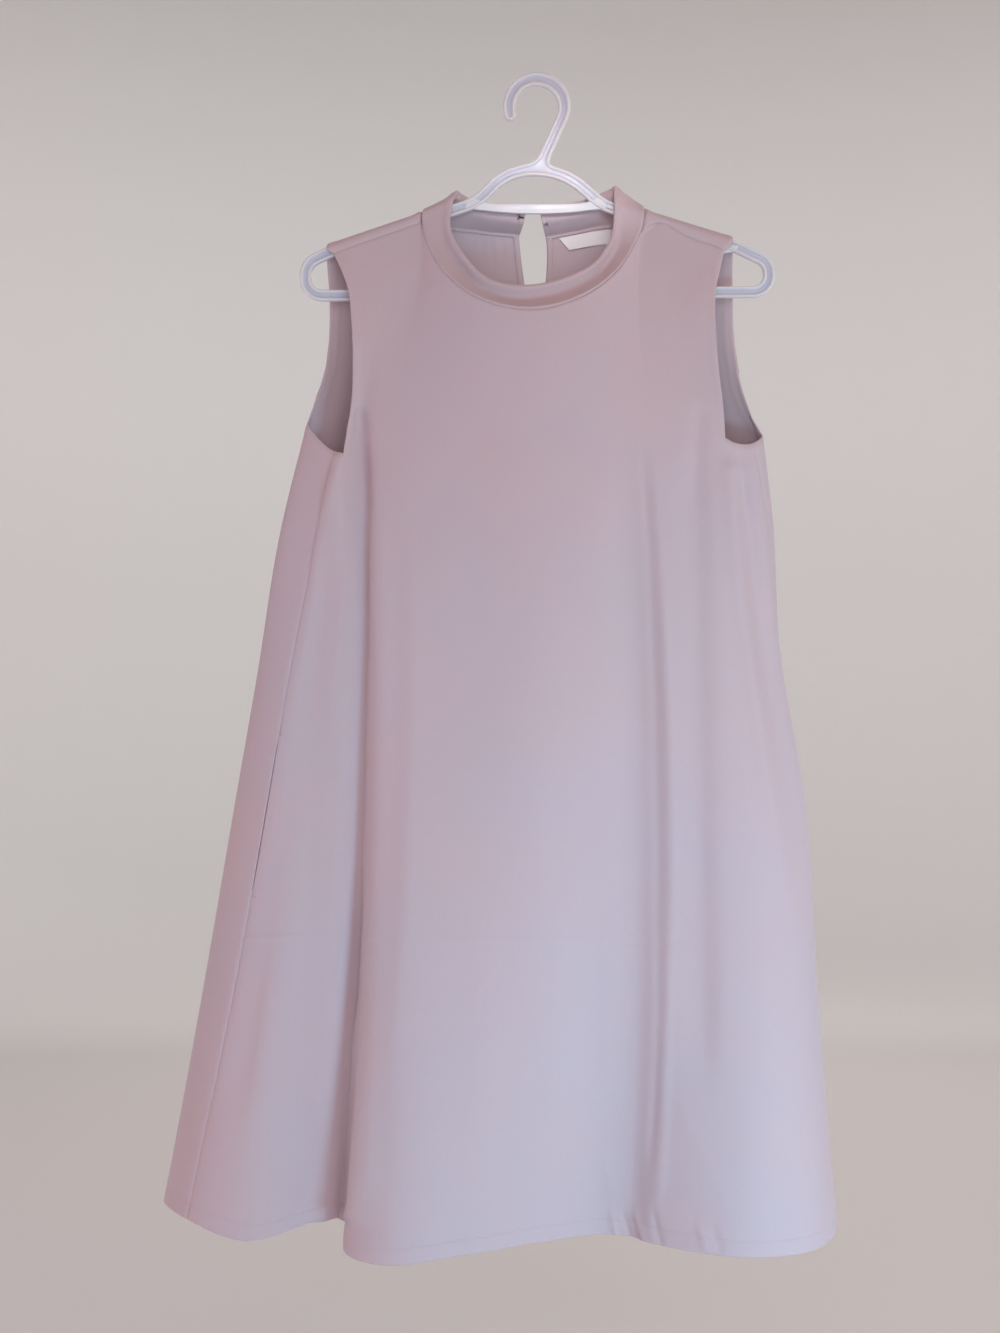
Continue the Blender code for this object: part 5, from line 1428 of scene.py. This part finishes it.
def hanger_shape():
    """Points and faces of the moulding, with its ridges, grooves and flat floor."""
    outline, hole = hanger_outline()
    hole = np.column_stack([hole, np.ones(len(hole)), np.zeros(len(hole))])
    points, faces, floors = [], [], []
    for curve, sign in ((outline, 1.0), (hole, -1.0)):
        curve = resampled(curve, MOULDING_STEP)
        place, size = curve[:, :2], len(curve)
        towards = inwards_of(place) * sign
        half = HALF_DEPTH + (HOOK_HALF_DEPTH - HALF_DEPTH) * curve[:, 3]
        rings = []
        for inset, height in RIDGE:
            moved = place + towards * (inset * curve[:, 2])[:, None]
            rings.append(np.column_stack([moved[:, 0], -half * height, moved[:, 1]]))
        side = place - towards * BEVEL
        rings = (rings[::-1] + [np.column_stack([side[:, 0], np.zeros(size), side[:, 1]])]
                 + [ring * (1.0, -1.0, 1.0) for ring in rings])
        start = len(points)
        points += [point for ring in rings for point in ring]
        faces += grid_faces(len(rings), size, start, closed=True)
        floors.append((range(start, start + size), range(len(points) - size, len(points))))
    # flat floors of the grooves, front and back
    for which in (0, 1):
        shape = bmesh.new()
        owners, edges = {}, []
        for floor in floors:
            verts = [shape.verts.new([float(value) for value in points[corner]])
                     for corner in floor[which]]
            owners.update(zip(verts, floor[which]))
            edges += [shape.edges.new(pair) for pair in zip(verts, verts[1:] + verts[:1])]
        filled = bmesh.ops.triangle_fill(shape, edges=edges, use_beauty=True)["geom"]
        for face in filled:
            if isinstance(face, bmesh.types.BMFace):
                corners = [owners[vert] for vert in face.verts]
                a, b, c = (np.asarray(points[corner]) for corner in corners)
                front = np.cross(b - a, c - a)[1] < 0
                faces.append(tuple(corners if front == (which == 0) else corners[::-1]))
        shape.free()
    return points, faces


def face_outwards(made, sharp):
    """Make an object's faces agree and point outwards, and shade them."""
    shape = bmesh.new()
    shape.from_mesh(made.data)
    bmesh.ops.recalc_face_normals(shape, faces=shape.faces)
    shape.to_mesh(made.data)
    shape.free()
    shade(made.data, sharp)


def plate(outline, half, roll=0.35):
    """A flat web in x and z with rounded rims."""
    outline = resampled(np.asarray(outline, dtype=float), PLATE_STEP)
    towards = inwards_of(outline)
    rings = []
    for inset, depth in ((roll, -half), (BEVEL, -half + BEVEL), (0.0, -half + roll),
                         (0.0, half - roll), (BEVEL, half - BEVEL), (roll, half)):
        moved = outline + towards * inset
        rings.append(np.column_stack([moved[:, 0], np.full(len(moved), depth), moved[:, 1]]))
    size = len(outline)
    points = [point for ring in rings for point in ring]
    faces = grid_faces(len(rings), size, closed=True)
    faces.append(tuple(reversed(range(size))))
    faces.append(tuple((len(rings) - 1) * size + corner for corner in range(size)))
    return points, outwards(points, faces)


# The flat bar behind the neck, with its fillets into the arch's two flanks.
BAR_TOP = ((-60.5, -101.0), (-54.5, -99.4), (-50.0, -99.9), (-45.0, -102.0), (-38.0, -103.4),
           (-20.0, -104.0), (2.0, -104.2), (24.0, -104.0), (41.0, -103.2), (47.5, -102.0),
           (52.0, -99.8), (56.0, -97.6), (62.0, -99.4))
BAR_BOTTOM = ((64.0, -108.2), (50.0, -109.6), (36.0, -111.2), (18.0, -112.4), (0.0, -112.8),
              (-18.0, -112.3), (-36.0, -111.0), (-50.0, -109.4), (-62.0, -108.4))


def neck_bar():
    """Points and faces of the flat bar behind the neck."""
    sides = []
    for side in (BAR_TOP, BAR_BOTTOM):
        keys = chord_keys(side)
        sides.append(smooth(keys, side, np.linspace(0, keys[-1], 60)))
    return plate(np.concatenate(sides), 2.0, 0.55)


# ================================================================ materials

def scaled(colour, share):
    """A colour made darker or lighter."""
    return tuple(value * share for value in colour)


class Finish:
    """A Principled material with textures on the object's own coordinates, in metres."""

    def __init__(self, name, colour, roughness, **sockets):
        self.material = bpy.data.materials.new(name)
        self.material.use_nodes = True
        self.tree = self.material.node_tree
        self.shader = self.tree.nodes["Principled BSDF"]
        sockets.update(Base_Color=(*colour, 1.0), Roughness=roughness)
        for socket, value in sockets.items():
            self.shader.inputs[socket.replace("_", " ")].default_value = value
        self.where = self.node("ShaderNodeTexCoord").outputs["Object"]

    def feed(self, socket, value):
        """Link an output to a socket, or give the socket a value."""
        if isinstance(value, bpy.types.NodeSocket):
            self.tree.links.new(value, socket)
        else:
            socket.default_value = value

    def drive(self, socket, output):
        """Link an output to one of the shader's sockets."""
        self.tree.links.new(output, self.shader.inputs[socket])

    def node(self, kind, settings=(), **sockets):
        """A node with its settings, and with values or links for its sockets."""
        made = self.tree.nodes.new(kind)
        for name, value in dict(settings).items():
            setattr(made, name, value)
        for name, value in sockets.items():
            self.feed(made.inputs[name.replace("_", " ")], value)
        return made

    def noise(self, scale, detail, roughness=0.5, stretch=None):
        """A noise texture."""
        where = self.where
        if stretch is not None:
            where = self.node("ShaderNodeMapping", Vector=where, Scale=stretch).outputs["Vector"]
        return self.node("ShaderNodeTexNoise", Vector=where, Scale=scale, Detail=detail,
                         Roughness=roughness).outputs["Fac"]

    def maths(self, operation, first, second):
        """The result of one operation on two values."""
        made = self.node("ShaderNodeMath", {"operation": operation})
        self.feed(made.inputs[0], first)
        self.feed(made.inputs[1], second)
        return made.outputs[0]

    def mixed(self, factor, first, second):
        """A colour between two colours, by a factor that varies over the surface."""
        made = self.node("ShaderNodeMix", {"data_type": "RGBA"}, Factor=factor)
        for slot, value in (("A", first), ("B", second)):
            socket = next(item for item in made.inputs if item.name == slot and item.type == "RGBA")
            self.feed(socket, (*value, 1.0) if isinstance(value, tuple) else value)
        return next(item for item in made.outputs if item.type == "RGBA")

    def levels(self, value, low, high, out_low=0.0, out_high=1.0):
        """A value spread from one range to another."""
        return self.node("ShaderNodeMapRange", Value=value, From_Min=low, From_Max=high,
                         To_Min=out_low, To_Max=out_high).outputs["Result"]

    def bump(self, height, strength, distance):
        """A fine relief in the shading."""
        self.drive("Normal", self.node("ShaderNodeBump", Height=height, Strength=strength,
                                       Distance=distance).outputs["Normal"])


def crepe(name, weave):
    """Matte crepe: pebbly crossed threads, a soft bloom and slightly uneven dyeing."""
    finish = Finish(name, CLOTH, 0.82, Sheen_Weight=0.22, Sheen_Roughness=0.45,
                    Specular_IOR_Level=0.28)
    warp = finish.noise(950.0, 2.0, 0.6, (1.0, 1.0, 0.30))
    weft = finish.noise(950.0, 2.0, 0.6, (0.32, 1.0, 1.0))
    pebble = finish.noise(1500.0, 1.0)
    threads = finish.maths("ADD", warp, weft)
    finish.bump(finish.maths("ADD", threads, pebble), weave, 0.00012)
    dye = finish.levels(finish.noise(7.0, 3.0, 0.55), 0.34, 0.66)
    fleck = finish.levels(threads, 0.7, 1.3)
    grain = finish.mixed(fleck, scaled(CLOTH, 0.93), scaled(CLOTH, 1.05))
    finish.drive("Base Color", finish.mixed(finish.maths("MULTIPLY", fleck, 0.5),
                                            finish.mixed(dye, CLOTH_PINK, CLOTH_BLUE), grain))
    finish.drive("Roughness", finish.levels(pebble, 0.3, 0.7, 0.76, 0.9))
    return finish.material


def tape(name, colour):
    """Woven label tape: fine ribs along its length."""
    finish = Finish(name, colour, 0.55, Sheen_Weight=0.15)
    ribs = finish.node("ShaderNodeTexWave", {"bands_direction": "Z"}, Vector=finish.where,
                       Scale=420.0, Distortion=0.8).outputs["Fac"]
    finish.bump(ribs, 0.25, 0.0001)
    finish.drive("Base Color", finish.mixed(ribs, scaled(colour, 0.94), colour))
    return finish.material


def plastic(name, colour):
    """Semi-gloss moulded plastic, faintly uneven, a little dull from handling."""
    finish = Finish(name, colour, 0.32, IOR=1.49, Specular_IOR_Level=0.5,
                    Subsurface_Weight=0.08, Subsurface_Scale=0.004)
    wear = finish.noise(38.0, 4.0, 0.6)
    worn = (*scaled(colour[:2], 0.965), colour[2] * 0.985)
    finish.drive("Roughness", finish.levels(wear, 0.3, 0.7, 0.26, 0.42))
    finish.drive("Base Color", finish.mixed(finish.levels(wear, 0.35, 0.7), colour, worn))
    finish.bump(finish.noise(260.0, 2.0), 0.12, 0.00008)
    return finish.material


def thread(name, colour):
    """Twisted sewing thread."""
    finish = Finish(name, colour, 0.6, Sheen_Weight=0.3)
    finish.drive("Base Color", finish.mixed(finish.noise(2600.0, 1.0), scaled(colour, 0.8), colour))
    return finish.material


def lacquer(name, colour, worn_colour):
    """Dark lacquered wire, a little worn."""
    finish = Finish(name, colour, 0.4, Metallic=0.6)
    worn = finish.noise(900.0, 2.0, 0.6)
    finish.drive("Base Color", finish.mixed(finish.levels(worn, 0.55, 0.75), colour, worn_colour))
    finish.drive("Roughness", finish.levels(worn, 0.3, 0.7, 0.32, 0.5))
    return finish.material


def paper(name, colour):
    """The studio's pale floor and wall."""
    finish = Finish(name, colour, 0.9, Specular_IOR_Level=0.1)
    finish.drive("Base Color", finish.mixed(finish.noise(0.8, 2.0), scaled(colour, 0.985), colour))
    return finish.material


# ================================================================ stitching

STITCH_LENGTH, STITCH_GAP, STITCH_RADIUS, STITCH_SINK = 2.1, 1.0, 0.19, 0.35


def hem_stitches(skin, columns):
    """Short threads along the hem, over a run of columns, dipping into the cloth."""
    fine = LAST_ROW - float(np.interp(HEM_DEPTH, HEM_ROWS, np.arange(len(HEM_ROWS))))
    low = math.floor(fine)
    share = fine - low
    a, b = skin.run(columns, [low]), skin.run(columns, [low + 1])
    outer, normals = (values[a] * (1.0 - share) + values[b] * share
                      for values in (skin.outside(), skin.normals))
    keys = chord_keys(outer)
    lift = np.array([-STITCH_SINK, 0.6 * STITCH_RADIUS, 0.6 * STITCH_RADIUS, -STITCH_SINK])
    parts = []
    place = STITCH_GAP
    while place + STITCH_LENGTH < keys[-1]:
        at = np.linspace(place, place + STITCH_LENGTH, 4)
        out = unit(read_along(keys, unit(normals), at))
        parts.append(tube(read_along(keys, outer, at) + out * lift[:, None], STITCH_RADIUS, 5))
        place += STITCH_LENGTH + STITCH_GAP
    return joined(parts)


TACK_LENGTH, TACK_FORWARD, TACK_RADIUS, TACK_RIB = 6.4, 2.4, 0.42, 0.4
TACK_LIFT, TACK_RIB_DEPTH = 0.12, 0.06
TACK_COLUMNS = 7                    # on each side of the seam


def bar_tack(skin, seam, z):
    """A short dense bar of thread across the seam at one end of a pocket slit."""
    numbers = skin.run([STARTS[seam]], range(LAST_ROW + 1))
    row = int(np.argmin(np.abs(skin.points[numbers][:, 2] - z)))
    numbers = skin.run(range(STARTS[seam] - TACK_COLUMNS, STARTS[seam] + TACK_COLUMNS + 1), [row])
    path = skin.outside()[numbers]
    keys = chord_keys(path)
    centre = keys[TACK_COLUMNS] + (TACK_FORWARD if seam == "seam_left" else -TACK_FORWARD)
    along = np.linspace(centre - 0.5 * TACK_LENGTH, centre + 0.5 * TACK_LENGTH, 65)
    out = unit(read_along(keys, skin.normals[numbers], along))
    ribs = np.cos((along - along[0]) / TACK_RIB * 2.0 * math.pi)
    return tube(read_along(keys, path, along) + out * TACK_LIFT,
                TACK_RADIUS + TACK_RIB_DEPTH * ribs, 10)


# ================================================================ putting it together

def ride(made, slot, *replaced):
    """Put an object on the body and hide the nodes that it stands for. The slot is not used."""
    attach(made, "root")
    if replaced:
        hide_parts(*replaced)
    return made


def piece(name, shape, finish, slot, *replaced, sharp=None):
    """A piece on the body, from its points and faces."""
    return ride(make_mesh(name, *shape, finish, sharp), slot, *replaced)


CLOTH = (0.585, 0.465, 0.50)
CLOTH_PINK = (0.605, 0.460, 0.488)
CLOTH_BLUE = (0.565, 0.468, 0.512)
PLASTIC = (0.76, 0.757, 0.785)
PLASTIC_GROOVE_SHADE = (0.55, 0.56, 0.665)   # painted shade: the grooves' floors are coloured darker and bluer than the ridges
LABEL = (0.90, 0.87, 0.87)
WIRE, WIRE_WORN = (0.035, 0.03, 0.03), (0.16, 0.14, 0.13)
STITCH = (0.64, 0.52, 0.56)
FLOOR = (0.80, 0.79, 0.78)

cloth = crepe("crepe", 0.34)
cloth_bag = crepe("pocketing", 0.2)
label_tape = tape("label_tape", LABEL)
white = plastic("white_plastic", PLASTIC)
wire_finish = lacquer("dark_wire", WIRE, WIRE_WORN)
sewing = thread("sewing_thread", STITCH)

skin = dress_skin()
surface = Surface(skin)

front = piece("front_cloth", panel_shape(skin, "front"), cloth, "crepe", "front_panel")
back = piece("back_cloth", panel_shape(skin, "back"), cloth, "crepe", "back_panel")
sections = collar_sections(skin)
collar = piece("collar_band", collar_shape(sections), cloth, "crepe", "collar", sharp=60)

bags, bindings = {}, {}
for side in ("left", "right"):
    bags[side] = piece("pocket_pouch_" + side, pocket_bag(surface, side), cloth_bag,
                       "pocketing", "pocket_bag_" + side)
    bindings[side] = piece("binding_" + side, slit_binding(surface, side), cloth, "crepe",
                           "slit_binding_" + side)
label = piece("blank_label", neck_label(surface), label_tape, "label_tape", "neck_label")

hanger = make_mesh("moulded_hanger", *joined(
    [hanger_shape(), neck_bar(), *(plate(outline, 2.1) for outline in GUSSETS)]), white)
face_outwards(hanger, 50)
# painted shade: the faces of the grooves' flat floors take a darker, bluer copy of the plastic
hanger.data.materials.append(plastic("white_plastic_groove_shade", PLASTIC_GROOVE_SHADE))
for face in hanger.data.polygons:
    if abs(face.normal.y) > 0.8 and WEB_LEAST < abs(face.center.y) / MM < WEB_HALF:
        face.material_index = 1
ride(hanger, "white_plastic", "hanger")

seam_left, seam_right = STARTS["seam_left"], STARTS["seam_right"]
hem_front = piece("hem_stitching_front", hem_stitches(skin, range(seam_left + 1, seam_right)),
                  sewing, "crepe")
hem_back = piece("hem_stitching_back",
                 hem_stitches(skin, range(seam_right + 1, COUNT + seam_left)), sewing, "crepe")
bar_tacks = piece("pocket_bar_tacks",
                  joined([bar_tack(skin, seam, z) for seam in ("seam_left", "seam_right")
                          for z in (POCKET_TOP_Z, POCKET_END_Z)]), sewing, "crepe")

hook_place = band_frame(sections, "left", 2.0, 0.80)
eye_place = band_frame(sections, "right", 1.2, 0.62)
piece("hook_wire", bent_wire(hook_place, sewn_wire(HOOK_BILL)), wire_finish, "dark_wire",
      "neck_hook")
piece("eye_wire", bent_wire(eye_place, sewn_wire(EYE_BOW), EYE_SIZE), wire_finish, "dark_wire",
      "neck_eye")

# ================================================================ stage, lights, camera

FLOOR_Z = -1.27
STAGE_RADIUS, STAGE_FILLET, STAGE_TOP = 4.4, 1.5, 2.6


def studio_floor():
    """A round pale floor that curves up into a wall."""
    profile = [(0.0, 0.0)] + [(r, 0.0) for r in np.linspace(0.5, STAGE_RADIUS - STAGE_FILLET, 6)]
    for angle in np.radians(np.linspace(6, 90, 15)):
        profile.append((STAGE_RADIUS - STAGE_FILLET + STAGE_FILLET * math.sin(angle),
                        STAGE_FILLET * (1.0 - math.cos(angle))))
    profile.append((STAGE_RADIUS, STAGE_TOP - FLOOR_Z))
    sides = 96
    points = [(0.0, 0.0, FLOOR_Z)]
    for radius, height in profile[1:]:
        for side in range(sides):
            angle = 2.0 * math.pi * side / sides
            points.append((radius * math.cos(angle), radius * math.sin(angle),
                           FLOOR_Z + height))
    faces = [(0, 1 + side, 1 + (side + 1) % sides) for side in range(sides)]
    faces += [tuple(reversed(face)) for face in
              grid_faces(len(profile) - 1, sides, 1, closed=True)]
    return make_mesh("studio_floor", np.array(points) / MM, faces, paper("floor_paper", FLOOR))


studio_floor()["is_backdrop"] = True


def put_light(data, place, target):
    """A light object that faces its target."""
    made = bpy.data.objects.new(data.name, data)
    made.location = place
    run = unit(np.array(target) - np.array(place))
    made.rotation_mode = "QUATERNION"
    made.rotation_quaternion = Vector(run).to_track_quat("-Z", "Y")
    made.visible_camera = False
    bpy.context.scene.collection.objects.link(made)


def area_light(name, place, target, size, power, colour):
    """A soft square light."""
    data = bpy.data.lights.new(name, "AREA")
    data.energy, data.size, data.color = power, size, colour
    put_light(data, place, target)


def spot_light(name, place, target, cone, soft_size, power, colour):
    """A soft round light that fades towards the edge of its cone, given in degrees."""
    data = bpy.data.lights.new(name, "SPOT")
    data.energy, data.shadow_soft_size, data.color = power, soft_size, colour
    data.spot_size, data.spot_blend = math.radians(cone), 1.0
    put_light(data, place, target)


area_light("front_light", (0.2, -2.4, -0.2), (0.0, 0, -0.5), 1.6, 17.6, (0.92, 0.92, 1.0))
area_light("side_light", (1.9, -0.35, -0.8), (0.1, 0, -0.7), 1.2, 9.0, (0.93, 0.90, 1.0))
area_light("warm_light", (-1.9, -0.4, -0.5), (-0.1, 0, -0.5), 1.2, 8.7, (1.0, 0.80, 0.91))
area_light("high_light", (1.4, -1.0, 0.9), (0.0, 0, -0.3), 1.1, 5.2, (1.0, 0.84, 0.47))
area_light("top_light", (0.1, -0.9, 1.35), (0.0, 0, -0.3), 0.9, 3.2, (1.0, 0.40, 0.35))
spot_light("low_light", (0.72, -1.3, -1.12), (0.17, 0, -0.90), 68.0, 0.2, 50.0,
           (0.34, 0.75, 1.0))
spot_light("neck_light", (0.10, -1.05, 0.12), (0.018, 0.03, -0.098), 8.5, 0.05, 20.0,
           (1.0, 0.93, 0.93))
area_light("back_light", (0.5, 2.2, 0.7), (0, 0, -0.5), 1.8, 12.0, (1.0, 0.90, 0.88))
for side in (-1, 1):
    area_light("wall_light", (1.3 * side, 1.3, 0.3), (1.6 * side, 4.4, 1.7), 1.6, 20.0,
               (1.0, 0.98, 0.97))
    area_light("floor_light", (1.1 * side, 2.1, 1.9), (1.1 * side, 1.6, -1.27), 1.4, 11.0,
               (1.0, 0.98, 0.97))

world = bpy.data.worlds.new("studio")
world.use_nodes = True
background = world.node_tree.nodes["Background"].inputs
background["Color"].default_value = (0.98, 0.82, 0.82, 1.0)
background["Strength"].default_value = 0.13
bpy.context.scene.world = world
bpy.context.scene.view_settings.view_transform = "Standard"

camera_data = bpy.data.cameras.new("camera")
camera_data.sensor_fit = "VERTICAL"
camera_data.sensor_height = SENSOR
camera_data.lens = SENSOR * VIEW_DISTANCE / (PICTURE_HEIGHT * PIXEL)
camera_data.clip_start, camera_data.clip_end = 0.05, 60.0
camera = bpy.data.objects.new("camera", camera_data)
camera.location = (VIEW_X * MM, -VIEW_DISTANCE * MM, VIEW_Z * MM)
camera.rotation_euler = (math.radians(90.0), 0.0, 0.0)
bpy.context.scene.collection.objects.link(camera)
bpy.context.scene.camera = camera

VISUAL_BOX = [list(corner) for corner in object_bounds()]
({"cad": [[float(v) for v in corner] for corner in CAD_BOX],
           "visual": [[float(v) for v in corner] for corner in VISUAL_BOX]})
